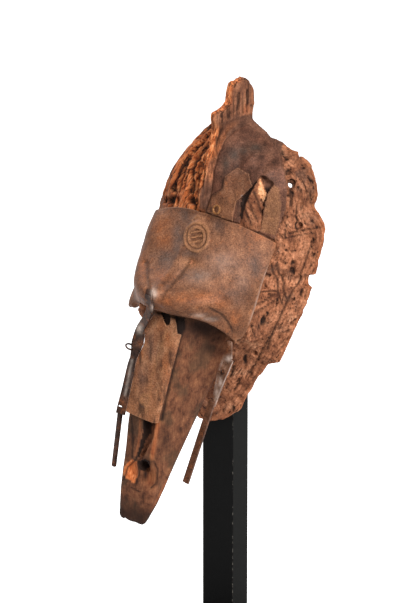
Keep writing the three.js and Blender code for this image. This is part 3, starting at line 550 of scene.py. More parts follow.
def brow_y(x, z):
    """How far forward the face of the brow stands."""
    s = np.abs(x) / brow_half(z)
    mid = curve(BROW_MID, z) + RIDGE.high * 0.6
    side = curve(BROW_SIDE, z)
    ends = np.clip((z - RIDGE.start) / 14, 0, 1) * np.clip((RIDGE.end - z) / 16, 0, 1)
    ridge = RIDGE.high * ends * np.exp(-((x / RIDGE.wide) ** 2))
    cheek = BROW_CHEEK * np.sin(np.pi * np.clip(s, 0, 1)) * np.clip((z - 425) / 40, 0, 1)
    return mid + (side - mid) * s ** 2.2 - ridge - cheek - brow_left(x, z) - brow_swell(x, z)


def brow_top(x):
    return BROW_MIDDLE.top - 21 * (np.abs(x) / 77) ** 2.6


def brow_low(x):
    return BROW_MIDDLE.low - 26 * (np.abs(x) / 64) ** 4 + LUG_LIFT * smooth(0.88, 1.04, -x / 66)


# The carving. Lines cut into the cheeks, in mm across and up
INCISED = [
    [(64, 420), (86, 443)], [(67, 416), (89, 439)],
    [(80, 474), (86, 452), (91, 432)], [(84, 474), (90, 452), (95, 434)],
    [(76, 446), (86, 446)],
    [(84, 503), (100, 508), (112, 512)], [(85, 499), (101, 504), (112, 507)],
    [(110, 494), (105, 470), (98, 445), (88, 414), (72, 378)],
    [(-84, 470), (-90, 448), (-94, 430)], [(-66, 418), (-88, 440)],
    [(-98, 480), (-97, 455), (-90, 420), (-74, 380)],
]
# How far the rim reaches, in mm, at each angle from the top
RIM_REACH = [(0, 131), (25, 127), (36, 134), (50, 134), (60, 120), (72, 127), (87, 117), (100, 113),
             (115, 116), (131, 121), (150, 131), (164, 157), (176, 185), (180, 190)]

# Wear measured across and down the picture, in its pixels. Lines have a width: furrows of the left side,
# cracks of the right flank, splits of the horn
FURROWS = [
    ([(207, 144), (200, 151), (195, 160)], 4.2), ([(194, 161), (191, 175), (190, 188), (191, 197)], 3.2),
    ([(187, 158), (182, 175), (177, 191)], 2.4), ([(176, 174), (171, 190)], 2.2),
    ([(201, 164), (203, 174), (201, 186)], 3.0), ([(208, 134), (199, 144), (191, 150)], 2.2),
    ([(184, 164), (176, 180), (173, 190)], 1.8), ([(199, 158), (197, 173), (196, 192)], 2.0),
]
CRACKS = [
    ([(291.5, 188), (290.8, 206)], 2.6), ([(296.5, 206), (297, 230)], 1.7), ([(283, 211), (282, 222)], 1.6),
    ([(269.5, 336), (266.5, 345)], 2.0), ([(303, 288), (300, 297)], 2.2), ([(234, 366), (230, 378)], 2.2),
    ([(240, 379), (234, 391)], 1.6), ([(252, 326), (256, 336)], 1.8), ([(287, 216), (285, 236)], 1.4),
    ([(309, 192), (311, 203)], 1.6), ([(276, 327), (262, 352)], 1.5), ([(262, 352), (250, 373)], 1.6),
]
HORN_SPLITS = [
    ([(239.6, 93), (239.4, 100), (239.2, 109)], 2.2), ([(244.5, 98), (243.5, 113)], 1.3),
    ([(248, 90), (247.6, 112)], 1.3), ([(222, 117), (225, 108), (231, 104)], 1.4),
]
# Pits have half a width and half a height
PITS = [
    (296.7, 226, 2.0, 4.0), (315.8, 226.7, 1.6, 1.6), (298.3, 187.5, 1.4, 2.0), (293, 194, 1.8, 2.4),
    (285.8, 250, 1.5, 1.5), (293, 263, 1.8, 2.6), (293.5, 273, 1.6, 2.6), (264, 322, 2.4, 5.0),
    (268, 315, 1.4, 2.0), (260, 327, 1.6, 2.4), (295.8, 320.8, 1.8, 1.8), (245, 360, 2.0, 4.5),
    (226.7, 386.7, 1.8, 2.8), (232.5, 409, 2.2, 2.8), (226.7, 413, 2.6, 1.8), (222, 405, 1.8, 1.8),
    (281.5, 152, 2.0, 3.0), (286, 158, 2.0, 2.0), (289, 147, 2.4, 1.6), (313, 181, 1.6, 2.4),
    (303, 168, 1.5, 2.2), (320, 214, 1.5, 2.0), (288, 196, 1.4, 1.8), (278, 300, 1.6, 2.2),
    (291.7, 183.3, 3.4, 3.6), (170.5, 199.5, 4.0, 4.4), (190.4, 200, 3.6, 4.0),
    (229.5, 114, 3.0, 5.0), (234, 84.5, 2.2, 1.8), (252, 106, 1.4, 2.4),
]
RIGHT_OF_FURROWS = 215
HORN_BOTTOM = 120

# Outlines in the picture: the slit and the nostril of the muzzle with its broken facet, the gaps torn in the
# nose sheet, where the cap turns over the rim, the ear's broken facet and the wedge of painted shadow beside
# it
MUZZLE_SLIT = [(143.6, 415), (152.5, 417), (151.5, 433), (146, 440), (139.5, 457), (136, 458), (140.5, 443),
               (143, 432)]
NOSTRIL_HOLE = [(137.5, 461), (144, 459), (150.5, 461.5), (150, 467), (145, 471), (140, 470)]
MUZZLE_FACET = [(124, 467), (131, 459), (136.5, 461), (138, 473), (134.5, 483), (127, 479), (123, 475)]
SHEET_HOLE = [(161.8, 309), (170.6, 309), (170.2, 318), (168.8, 324.5), (165.4, 325.6), (163.2, 322),
              (161.4, 316)]
SHEET_NOTCH = [(174.5, 316), (185, 318), (185, 328), (181.5, 335), (177, 333.5)]
CAP_RIM = [(222, 124), (234, 116), (252, 115), (272, 132), (284, 143), (278, 156), (262, 150), (244, 134),
           (228, 140)]
EAR_FACET = [(259.4, 178), (267, 193.9), (263.9, 202.5), (258, 193)]
EAR_WEDGE = [(258, 179.5), (249, 189), (241.5, 198.5), (239.5, 216), (243, 221), (244, 211), (247, 200),
             (252.5, 190)]

# Spots in the picture with half a width and half a height, and lines with a width, each after its strength
# Painted shade in the nostril, dark lines round the slit and nostril and in the gap beside the nose sheet,
# and a painted shadow at the crest's right foot
NOSTRIL = [(1.0, [(144, 463.5, 5.5, 4.5), (145.5, 474, 3.0, 7)])]
MUZZLE_LINES = [
    (0.9, [(131, 417), (133, 440), (132, 458)], 1.6), (0.9, [(136.5, 459), (128, 467), (123.5, 480)], 1.6),
    (0.9, [(154.5, 462), (157.8, 470), (156.5, 483), (151, 488)], 1.8),
    (0.9, [(184, 326), (179.5, 340), (172.3, 372), (162, 419)], 3.4),
    (0.9, [(138, 461), (139.5, 474), (136, 484)], 1.4), (0.9, [(131, 487), (140, 492)], 1.2),
]
CREST_FOOT = [(0.85, [(223.5, 127), (217, 142), (208, 164), (200, 196)], 3.4)]
# Painted highlights on the muzzle: along its right rib and along its edges
RIB_HIGHLIGHT = [(0.4, [(158, 422), (155, 440), (152, 458)], 4.0)]
EDGE_HIGHLIGHTS = [(0.3, [(167, 480), (158, 498), (150, 513)], 2.0),
                (0.35, [(140.5, 420), (139, 440), (135, 456)], 1.4)]
BRIGHT_SCOOP = [(0.5, [(150, 476, 6, 8)])]
# Painted shadow under the brow; olive patches on the muzzle; painted shade in the bowl of the nostril
UNDER_BROW = [(0.95, [(203, 328, 32, 12), (181, 326, 9, 12)])]
OLIVE = [(0.55, [(165, 442, 6, 14), (207, 348, 9, 7), (133, 432, 4, 22)])]
NOSTRIL_BOWL = [(0.42, [(150.5, 474, 6.5, 11)])]

# How deep the wood is worn, in mm
FLANK_WEAR = SimpleNamespace(crumbs=1.3, fibre=1.1, hollows=1.2, holes=3.2)
OPEN_WEAR = SimpleNamespace(furrows=4.0, fibre=1.1, crumbs=1.2)
FIN_WEAR = SimpleNamespace(fibre=1.1, crumbs=0.7)
MARK_DEPTH = SimpleNamespace(right=3.2, left=6.0)
INCISED_DEPTH = 1.6
MUZZLE_DENTS = 0.3
RIM_CHIPS = 1.3
DEEPEST = 0.95
VOXEL = SimpleNamespace(fine=1.78, quick=3.2)

# The forehead's dome, the plane of the rim, and where the grain fans from, in mm
DOME = SimpleNamespace(half_wide=66, half_high=127)
RIM_PLANE = SimpleNamespace(y=-17, z=284, slope=51 / 319)
FAN = SimpleNamespace(top=655, nearest=30)
GRAIN_REACH = 115
GRAIN_TURN = 105


def fine_wood():
    """The CAD carving remeshed finely and smoothed, its ear less than the rest."""
    source = bpy.data.objects.new("wood_source", cad_piece("mask_wood"))
    bpy.context.scene.collection.objects.link(source)
    voxel = source.modifiers.new("remesh", "REMESH")
    voxel.mode = "VOXEL"
    voxel.voxel_size = VOXEL.fine * MM
    depsgraph = bpy.context.evaluated_depsgraph_get()
    mesh = bpy.data.meshes.new_from_object(source.evaluated_get(depsgraph))
    bpy.data.objects.remove(source)
    mesh.name = "mask_wood"
    p = points_of(mesh)
    p = p + (relax(p, edges_of(mesh), 3, 0.6) - p) * (1 - 0.8 * ear_leaf(p).leaf)[:, None]
    set_points(mesh, p)
    return mesh


def ear_leaf(p):
    """Height up the ear, reach to its left, and how much a point belongs to its leaf or broken facet."""
    q = p - EAR_FOOT
    rise, reach, out = q @ EAR_UP, q @ EAR_SIDE, q @ EAR_FACE
    near = smooth(5, 3, out) * smooth(-16, -13, reach) * smooth(17, 14, reach)
    near = near * smooth(-2, 2, rise) * smooth(62, 57, rise)
    return SimpleNamespace(rise=rise, reach=reach, leaf=near * smooth(-4, -1, out),
                           broken=near * smooth(-9, -6, out))


def wood_regions(p, n):
    """How much each point belongs to each part of the carving, 0 to 1, and its grain."""
    x, y, z = p.T
    r = SimpleNamespace(front=smooth(0.25, -0.15, n[:, 1]), facing=smooth(0.0, 0.2, n @ TOWARDS))
    r.across, r.down = seen(p)
    r.ear = ear_leaf(p)
    r.muzzle = smooth(-36, -46, y - 10 * smooth(24, 34, np.abs(x))) * smooth(436, 418, z)
    r.muzzle *= smooth(36, 31, np.abs(x))
    r.under_cap = inside(x, z, CAP_OUTLINE) * r.front
    from_dome = np.hypot(x / DOME.half_wide, (z - CENTRE_Z) / DOME.half_high)
    domed = smooth(1.04, 0.97, from_dome) * smooth(4, 8, x)
    r.lid = inside(r.across, r.down, CAP_RIM) * smooth(3, 6, x)
    r.clad = np.maximum.reduce([r.under_cap, domed * r.front, r.lid]) * smooth(486, 500, z)
    r.horn = smooth(600, 606, z) * smooth(30, 12, np.abs(x))
    r.crest = smooth(9, 6, np.abs(x)) * smooth(516, 524, z) * r.front
    r.fin = np.maximum(r.horn, r.crest)
    r.left = smooth(10, -10, x) * smooth(478, 500, z)
    r.open = r.left * r.front * smooth(494, 504, z) * (1 - r.fin)
    r.flank = (1 - r.left) * (1 - r.muzzle) * (1 - r.fin) * (1 - r.clad)
    r.rim = smooth(9, 2, np.abs(y - RIM_PLANE.y - (z - RIM_PLANE.z) * RIM_PLANE.slope))
    # Grain: round the bowl on the flanks, fanning from the top on the left, upright elsewhere
    theta = np.arctan2(x, z - CENTRE_Z)
    rho = np.hypot(x, z - CENTRE_Z) / curve(RIM_REACH, np.abs(np.degrees(theta))) * GRAIN_REACH
    fan = x / np.maximum(FAN.top - z, FAN.nearest) * GRAIN_REACH
    r.ring = np.stack([rho, y, theta * GRAIN_TURN], 1)
    r.fanned = np.stack([fan, y, z], 1)
    upright = np.maximum(np.maximum(r.muzzle, r.fin), smooth(-60, -66, y))[:, None]
    r.grain = r.ring * (1 - r.left[:, None]) + r.fanned * r.left[:, None]
    r.grain = r.grain * (1 - upright) + p * upright
    return r


def measured_marks(p, r):
    """Furrows, cracks and pits at the places measured in the picture."""
    out = np.zeros(len(p))
    across, down = r.across + 1.1 * noise(p / 2.6, 5), r.down + 1.6 * noise(p / 3.4, 6)
    on_left, on_right = smooth(6, 0, p[:, 0]), smooth(20, 30, p[:, 0])
    for line, wide in FURROWS:
        out = np.maximum(out, along(across, down, line, wide) * on_left)
    for line, wide in HORN_SPLITS:
        out = np.maximum(out, along(r.across, r.down, line, wide))
    for line, wide in CRACKS:
        out = np.maximum(out, along(across, down, line, wide) * on_right)
    for px, py, half_wide, half_high in PITS:
        near = smooth(1.35, 0.7, np.hypot((across - px) / half_wide, (down - py) / half_high))
        side = 1.0 if py < HORN_BOTTOM else on_left if px < RIGHT_OF_FURROWS else on_right
        out = np.maximum(out, near * side)
    return out * r.facing * r.front * (1 - r.muzzle) * (1 - r.ear.leaf) * (1 - r.clad * (1 - r.fin))


def cut_lines(x, z, wide):
    """1 on the lines cut into the cheeks, fading to 0 at wide mm from them."""
    return np.maximum.reduce([along(x, z, line, wide) for line in INCISED])


def ridged(p, cells, seed, sharp=2.0):
    """Noise with sharp crests, -1 to 1."""
    return 1 - np.abs(noise(p / cells, seed)) * sharp


def wood_wear(p, r, marks, cut):
    """How far the surface has worn away, in mm."""
    x, _, z = p.T
    grain = np.where((r.left > 0.5)[:, None], r.fanned, r.ring)
    crumbs = smooth(0.05, 0.6, layered(p / [3.6, 4.2, 4.6], 47, 2))
    fibre = smooth(0.35, 0.95, ridged(grain, [3.4, 8, 22], 3))
    hollows = smooth(-0.3, 0.6, layered(grain / [17, 17, 30], 11))
    holes = smooth(0.5, 0.68, noise(grain / [5, 6, 8], 59)) * smooth(-0.2, 0.3, noise(p / 26, 53))
    bare = (0.4 + 0.6 * r.front) * r.flank * (1 - r.ear.leaf)
    wear = FLANK_WEAR
    depth = bare * (wear.crumbs * crumbs + wear.fibre * fibre + wear.hollows * hollows + wear.holes * holes)
    furrows = smooth(0.25, 0.8, ridged(r.fanned, [6.0, 30, 46], 61, 2.1))
    furrows *= smooth(-0.3, 0.2, noise(r.fanned / [9, 30, 30], 67))
    fibre = smooth(0.2, 0.9, ridged(r.fanned, [3, 30, 40], 91))
    wear = OPEN_WEAR
    depth += r.open * (wear.furrows * furrows + wear.fibre * fibre + wear.crumbs * crumbs)
    fibre = smooth(0.15, 0.85, ridged(p, [2.6, 4, 30], 91))
    depth += r.fin * (FIN_WEAR.fibre * fibre + FIN_WEAR.crumbs * crumbs)
    mark_depth = MARK_DEPTH.right + (MARK_DEPTH.left - MARK_DEPTH.right) * r.left
    depth = np.maximum(depth, mark_depth * marks)
    depth = np.maximum(depth * (1 - 0.6 * cut_lines(x, z, 4.5)), INCISED_DEPTH * cut)
    depth += MUZZLE_DENTS * r.muzzle * smooth(0.1, 0.7, layered(p / 9, 71))
    chips = smooth(0.15, 0.75, noise(p / 9.0, 83)) * r.rim * (1 - r.muzzle)
    return depth * (1 - 0.5 * r.rim) + RIM_CHIPS * chips


def deep_places(x, y, z, r, broken, hollow):
    """Where no light gets in: hollows, the ear's slot and grooves, nostril, slit and torn gaps."""
    nose = r.muzzle * r.facing
    slot = inside(x, z, EAR_SLOT) * (1 - np.maximum(r.ear.leaf, broken)) * r.front * smooth(184, 189, r.down)
    grooves = np.maximum.reduce([along(r.ear.rise, r.ear.reach, line, 2.4) for line in EAR_GROOVES])
    nostril = np.maximum(marked(r.across, r.down, NOSTRIL), inside(r.across, r.down, NOSTRIL_HOLE))
    slit = inside(r.across, r.down, MUZZLE_SLIT)
    lines = marked(r.across, r.down, lines=MUZZLE_LINES)
    crest_foot = marked(r.across, r.down, lines=CREST_FOOT) * smooth(3, 5, x) * r.front
    gaps = np.maximum(inside(r.across, r.down, SHEET_HOLE), inside(r.across, r.down, SHEET_NOTCH))
    wedge = inside(r.across, r.down, EAR_WEDGE) * smooth(38, 42, x) * (1 - broken)
    openings = DEEPEST * strongest(slot, wedge, gaps * smooth(-40, -50, y), nose * nostril, nose * slit)
    soft = strongest(hollow, 0.8 * grooves * r.ear.leaf, crest_foot, nose * lines)
    return np.minimum(DEEPEST, np.maximum(openings, soft))


def fresh_and_highlit_places(p, r, broken, low_crest):
    """Where the wood is open and orange: the left side, the fins' left, the muzzle's facet; and painted
    highlights in that colour on the muzzle's right rib and edges.
    """
    x = p[:, 0]
    nose = r.muzzle * r.facing
    facet = inside(r.across, r.down, MUZZLE_FACET) * nose
    scoop = marked(r.across, r.down, BRIGHT_SCOOP) * nose
    # Painted highlights in the colour of open wood: the muzzle's right rib and its edges
    rib_highlight = marked(r.across, r.down, lines=RIB_HIGHLIGHT) * nose
    edges = marked(r.across, r.down, lines=EDGE_HIGHLIGHTS) * r.muzzle
    fin = r.fin * smooth(6, 0, x + 5 * noise(p / 12, 5)) * (1 - 0.1 * r.horn)
    rim = 0.35 * r.rim * (1 - r.muzzle) * (1 - r.clad)
    return strongest(r.open, fin, facet, scoop, rib_highlight, edges, broken, 0.1 * r.ear.leaf, rim) * (1 - low_crest)


def worn_places(p, n, r, covered, low_crest):
    """Where the wood is an even worn brown: low crest, outer left, under metal; and beside the ear, at the
    top of its slot, painted shade in the cap's brown.
    """
    x, _, z = p.T
    outer_left = r.left * smooth(-0.2, -0.75, n[:, 0]) * smooth(540, 520, z)
    # Beside the ear at the top of its slot: painted shade in the brown of the cap
    beside_ear = inside(x, z, EAR_SLOT) * (1 - r.ear.leaf) * r.front * smooth(188, 184, r.down)
    horn_back = 0.4 * r.horn * smooth(0, 5, x + 3 * noise(p / 9, 7))
    return strongest(0.95 * low_crest, 0.7 * outer_left, beside_ear, horn_back, covered * (1 - r.ear.leaf))


def shaded_places(p, r, broken):
    """Where the wood is darkened: painted shadow under the brow, painted shade in the nostril bowl and on
    the high flank, a darker ear, the tip darkened by handling and smoke, olive patches.
    """
    x, y, z = p.T
    nose = r.muzzle * r.facing
    shadow_under_brow = marked(r.across, r.down, UNDER_BROW) * (x > 0) * (y < -30) * r.facing
    tip = 0.9 * r.muzzle * smooth(236, 214, z)
    # Painted shade: the high flank darker towards its top
    return strongest(0.22 * r.flank * smooth(500, 540, z), marked(r.across, r.down, NOSTRIL_BOWL) * nose,
                     0.34 * r.ear.leaf * (1 - broken), shadow_under_brow, tip, marked(r.across, r.down, OLIVE) * nose)


def wood_paint(mesh, p, n, r, hollow):
    """Stores where the wood lies in deep painted shade, is handled, freshly broken or painted with
    highlights, worn smooth, or darkened by painted shade and handling.
    """
    x, y, z = p.T
    broken = inside(r.across, r.down, EAR_FACET) * r.ear.broken
    low_crest = r.crest * smooth(556, 540, z) * smooth(-1, 2, x)
    covered = np.maximum(r.lid, r.under_cap)
    covered = covered * (1 - smooth(5.9, 5.2, np.abs(x)) * smooth(540, 556, z))
    behind = smooth(-0.1, 0.3, n[:, 1])
    open_fibre = np.maximum(0.85 * r.open, 0.7 * r.fin * (1 - low_crest))
    amounts = {
        "deep": deep_places(x, y, z, r, broken, hollow),
        "handled": np.clip(r.muzzle + 0.5 * behind, 0, 1),
        "fresh_and_highlit": fresh_and_highlit_places(p, r, broken, low_crest),
        "worn": worn_places(p, n, r, covered, low_crest) * (1 - broken),
        "split": broken,
        "rifted": open_fibre * (1 - covered),
        "shade": shaded_places(p, r, broken),
    }
    for name, values in amounts.items():
        paint(mesh, name, values)


def carve_wood():
    """The carving, worn along its grain, pitted, painted for its material and painted with shade in its
    hollows.
    """
    mesh = fine_wood()
    edges = edges_of(mesh)
    p, n = points_of(mesh), normals_of(mesh)
    r = wood_regions(p, n)
    marks = measured_marks(p, r)
    cut = cut_lines(p[:, 0], p[:, 2], 1.5) * r.front * (1 - r.muzzle)
    depth = wood_wear(p, r, marks, cut)
    set_points(mesh, relax(p - n * depth[:, None], edges, 1, 0.12))
    # Painted shade in the hollows, by how much deeper a point lies than around it, and in the cut lines and
    # measured marks
    hollow = np.clip((depth - relax(depth, edges, 12, 0.5)) * (0.45 + 0.35 * r.open), 0, 1)
    wood_paint(mesh, p, n, r, np.maximum.reduce([hollow, 0.85 * cut, 0.95 * marks]))
    layer = mesh.attributes.new("grain", "FLOAT_VECTOR", "POINT")
    layer.data.foreach_set("vector", r.grain.astype(np.float32).ravel())
    mesh.polygons.foreach_set("use_smooth", [True] * len(mesh.polygons))
    return mesh


wood = place("mask_wood", carve_wood(), wood_material(), ["mask_wood"])


# Sheets: the rolled lower edge of the brow, grids, and marks measured across and down the picture
ROLL = SimpleNamespace(start=0.8, radius=5.0, sweep=2.7)
BROW_ENDS = SimpleNamespace(top=497, low=404)
NOSE_ENDS = SimpleNamespace(top=420, low=319, left=-20, skewed=0.06, narrowed=0.1, clear=1.6)
ROUNDEL = SimpleNamespace(across=196.6, down=236.6, radius=12.4, ring=2.0, strokes=3, raised=1.9,
                          foreshortened=0.84)
OVAL = SimpleNamespace(across=145, down=400, radius=6.4, ring=2.0, strokes=1, raised=0.8, stretched=1.25)
BROW_GRID = SimpleNamespace(fine=(170, 140), quick=(60, 50))
NOSE_GRID = SimpleNamespace(fine=(90, 130), quick=(36, 50))
LAID_STEP = SimpleNamespace(fine=1.0, quick=2.6)
IN_FRONT = -300  # where the rays that read a CAD sheet's front start
# Creases: a line, its width, its depth and how much painted shade lies in its bottom
CREASES = [
    ([(189, 262), (180, 275), (170, 286), (161, 296)], 5.5, 1.7, 0.5),
    ([(144.5, 264), (147.6, 291), (149, 310)], 5, 2.6, 0.45),
    ([(208, 308), (219, 314), (226, 322), (231, 331)], 4, 2.6, 0.75),
    ([(166, 291), (190, 288), (212, 292), (229, 303)], 6, 1.5, 0.2),
]
# Each row has a strength, then spots with half a width and half a height, or a line and its width
BROW_HOLLOW = [(1.6, [(190, 263, 6, 5)])]
BROW_BULGE = [(2.4, [(190, 303, 24, 5)])]
CURLS = [(1.0, [(199, 209), (206, 212), (212, 213)], 2.0), (1.0, [(192, 220), (197, 216), (203, 219)], 1.8)]
BROW_MARKS = {
    "grey": [(0.9, [(184, 216, 5, 8), (177, 234, 5, 12), (166, 257, 9, 8), (176, 248, 4, 8)]),
             (0.6, [(256, 266, 9, 12), (243, 282, 8, 12), (217, 226, 5, 7), (192, 254, 9, 5),
                    (236, 300, 8, 10), (205, 274, 8, 5)])],
    "rust": [(1.0, [(167, 301, 9, 6), (182, 298, 12, 5), (205, 297, 14, 6), (222, 304, 9, 6),
                    (234, 317, 6, 8), (191, 264, 4, 4), (262, 235, 10, 5), (276, 243, 4, 6),
                    (160, 226, 8, 8), (142, 262, 4, 14), (163, 240, 7, 7), (161, 276, 8, 5)])],
    # Pale: a white spot that is partly worn and partly a painted highlight, painted highlights on the rolled
    # lip, and a faint painted sheen where the sheet is worn
    "pale": [(0.9, [(153.5, 293.3, 2.6, 4)]), (0.38, [(200, 315.5, 6, 2), (210, 319, 6, 2)]),
             (0.14, [(196, 277, 12, 8), (222, 262, 14, 10)])],
    "gold": [(0.7, [(187, 264, 7, 6)])],
    # Dark: small dark marks, and painted shade along the lower edge and under the left lug
    "dark": [(0.4, [(218, 226, 4, 6), (186, 214, 4, 6), (192, 253, 9, 4)]),
             (0.5, [(214, 317, 10, 3), (176, 314, 8, 3), (135, 311, 5, 4)])],
}
NOSE_MARKS = {
    "grey": [(0.5, [(150, 345, 6, 16), (142, 375, 5, 12), (155, 352, 4, 10)])],
    "rust": [(1.0, [(168, 341, 5, 9), (160, 325, 4, 5), (165, 365, 4, 10), (140, 352, 3, 8)])],
    # Dark: painted shade in the torn notch, and dark streaks
    "dark": [(0.95, [(180, 324, 5, 8)]), (0.35, [(158, 372, 3, 16), (133, 395, 3, 10), (160, 345, 3, 14)])],
}
NOSE_FACETS = [(0.9, [(166, 330), (152, 375), (146, 412)], 2.4),
               (0.35, [(174, 330), (160, 380), (153, 414)], 1.6)]


def roundel(a, b, form):
    """Height, 0 to 1, of an embossed roundel from distances across and up: two rings and plain strokes."""
    radius = form.radius
    r = np.hypot(a, b) / radius
    wide = form.ring / radius
    rings = np.maximum(smooth(wide, wide * 0.4, np.abs(r - 1)), smooth(wide, wide * 0.35, np.abs(r - 0.68)))
    for k in range(form.strokes):
        middle = (k - (form.strokes - 1) / 2) * radius * 0.34
        stroke = smooth(1.3, 0.5, np.abs(b - middle - 0.15 * a))
        rings = np.maximum(rings, stroke * smooth(radius * 0.52, radius * 0.44, np.abs(a)))
    return rings


def brow_sheet():
    """The broad sheet over the brow: dented, creased beside the nose, its lower edge rolled under."""
    nu, nv = BROW_GRID.fine
    u, v = np.meshgrid(np.linspace(0, 1, nu), np.linspace(0, 1, nv), indexing="ij")
    t = np.minimum(v / ROLL.start, 1)
    x = (u * 2 - 1) * brow_half(BROW_ENDS.top + (BROW_ENDS.low - BROW_ENDS.top) * t)
    top, low = brow_top(x), brow_low(x)
    z = top + (low - top) * t
    a = np.clip((v - ROLL.start) / (1 - ROLL.start), 0, 1) * ROLL.sweep
    radius = ROLL.radius * (1 - 0.5 * smooth(0.85, 1, -x / 67))
    p = np.stack([x * (1 - 0.02 * a), brow_y(x, z) + radius * (1 - np.cos(a)), z - radius * np.sin(a)], -1)
    across, down = seen(p)
    flat = smooth(0, 0.05, u) * smooth(1, 0.95, u) * smooth(0, 0.05, v)
    cells = p.reshape(-1, 3)
    dent = (1.1 * layered(cells / 24, 101) + 0.35 * noise(cells / 8, 103)).reshape(nu, nv)
    crease_shade = np.zeros((nu, nv))
    for line, wide, deep, shade in CREASES:
        dent += deep * along(across, down, line, wide)
        crease_shade = np.maximum(crease_shade, shade * along(across, down, line, wide * 0.55))
    dent += marked(across, down, BROW_HOLLOW) - marked(across, down, BROW_BULGE)
    ring_x, ring_z = (across - ROUNDEL.across) * PIXEL, (ROUNDEL.down - down) * PIXEL
    ring = roundel(ring_x, ring_z * ROUNDEL.foreshortened, ROUNDEL) * (1 - a / ROLL.sweep)
    ring *= np.clip(0.95 + 0.5 * noise(cells / 7, 107), 0.45, 1.1).reshape(nu, nv)
    curl = marked(across, down, lines=CURLS)
    p[..., 1] += (dent * 0.9 + 0.4) * flat - ROUNDEL.raised * ring - 0.9 * curl
    paints = {key: marked(across, down, rows) for key, rows in BROW_MARKS.items()}
    # A painted highlight along the right edge
    right_edge = 0.4 * smooth(0.993, 1.0, u) * smooth(0.1, 0.2, v) * smooth(0.6, 0.45, v)
    paints["pale"] = np.maximum(paints["pale"], right_edge)
    # Darker across the roundel's disc between its rings; painted shade under the rolled lip and in the
    # creases
    disc = np.hypot((across - ROUNDEL.across) / 12.2, (ROUNDEL.down - down) / 14.5)
    under_roll = 0.55 * smooth(1.6, 2.4, a)
    dark = np.maximum.reduce([paints["dark"], under_roll, crease_shade, 0.34 * smooth(1.0, 0.9, disc)])
    paints["dark"] = dark * (1 - ring)
    paints["gold"] = np.maximum(1.2 * ring + curl, paints["gold"])
    keep = np.ones((nu - 1, nv - 1), bool)
    return thick_sheet("brow_sheet", p, keep, {key: np.clip(w, 0, 1) for key, w in paints.items()})


def nose_sheet():
    """The sheet folded over the bridge of the nose, with its hole, torn notch and small embossed oval."""
    nu, nv = NOSE_GRID.fine
    u, v = np.meshgrid(np.linspace(0, 1, nu), np.linspace(0, 1, nv), indexing="ij")
    rows = [(k, *row) for k, row in enumerate(NOSE_ACROSS)]
    reach = curve(rows, u * (len(rows) - 1), 1)
    ends = NOSE_ENDS
    z = ends.top + (ends.low - reach * ends.skewed - ends.top) * v
    x = np.where(reach < 0, reach / ends.left * curve(NOSE_LEFT, z), reach * (1 - ends.narrowed * v))
    y = curve(NOSE_LINE, z) + curve(rows, u * (len(rows) - 1), 2) - ends.clear
    p = np.stack([x, y, z], -1)
    across, down = seen(p)
    cells = p.reshape(-1, 3)
    dent = (0.6 * layered(cells / 15, 131) + 0.35 * noise(cells / [5, 5, 60], 137)).reshape(nu, nv)
    oval = roundel((across - OVAL.across) * PIXEL * OVAL.stretched, (OVAL.down - down) * PIXEL, OVAL)
    p[..., 1] += (dent + 0.4) * smooth(0, 0.04, v) * smooth(1, 0.97, v) - OVAL.raised * oval
    streak = layered(np.stack([across / 3.5, down / 17, 0 * down], -1).reshape(-1, 3), 139).reshape(nu, nv)
    facets = marked(across, down, lines=NOSE_FACETS) + 0.3 * smooth(0.5, 1.0, v)
    # Painted shade along the top edge, under the brow, and along the right edge beside the muzzle
    top_edge, right_edge = 0.6 * smooth(0.05, 0, v), 0.9 * smooth(0.93, 0.965, u)
    paints = {
        "grey": marked(across, down, NOSE_MARKS["grey"]),
        "rust": strongest(marked(across, down, NOSE_MARKS["rust"]), 0.6 * smooth(0.0, -0.6, streak)),
        "gold": strongest(oval, facets),
        # Pale: a painted highlight along the left edge
        "pale": 0.9 * smooth(0.06, 0.02, u) * smooth(0.0, 0.1, v),
        # Dark: painted shade at the notch and the edges, with dark streaks
        "dark": strongest(marked(across, down, NOSE_MARKS["dark"]), top_edge, right_edge,
                          0.95 * inside(across, down, SHEET_NOTCH), 0.7 * smooth(0.1, 0.7, streak)),
    }
    torn = [inside(across[:-1, :-1], down[:-1, :-1], edge) for edge in (SHEET_HOLE, SHEET_NOTCH)]
    return thick_sheet("nose_sheet", p, ~np.logical_or(*torn), paints)


def beside(grid):
    """Each cell's four neighbours, missing ones past the border."""
    padded = np.pad(grid, 1, constant_values=np.nan)
    return np.stack([padded[2:, 1:-1], padded[:-2, 1:-1], padded[1:-1, 2:], padded[1:-1, :-2]])


def carried_on(depth, rounds=60):
    """Depths carried on past a sheet's edge from the neighbours that have one."""
    for _ in range(rounds):
        near = beside(depth)
        count = (~np.isnan(near)).sum(0)
        mean = np.nansum(near, 0) / np.maximum(count, 1)
        depth = np.where(np.isnan(depth) & (count > 0), mean, depth)
    return depth


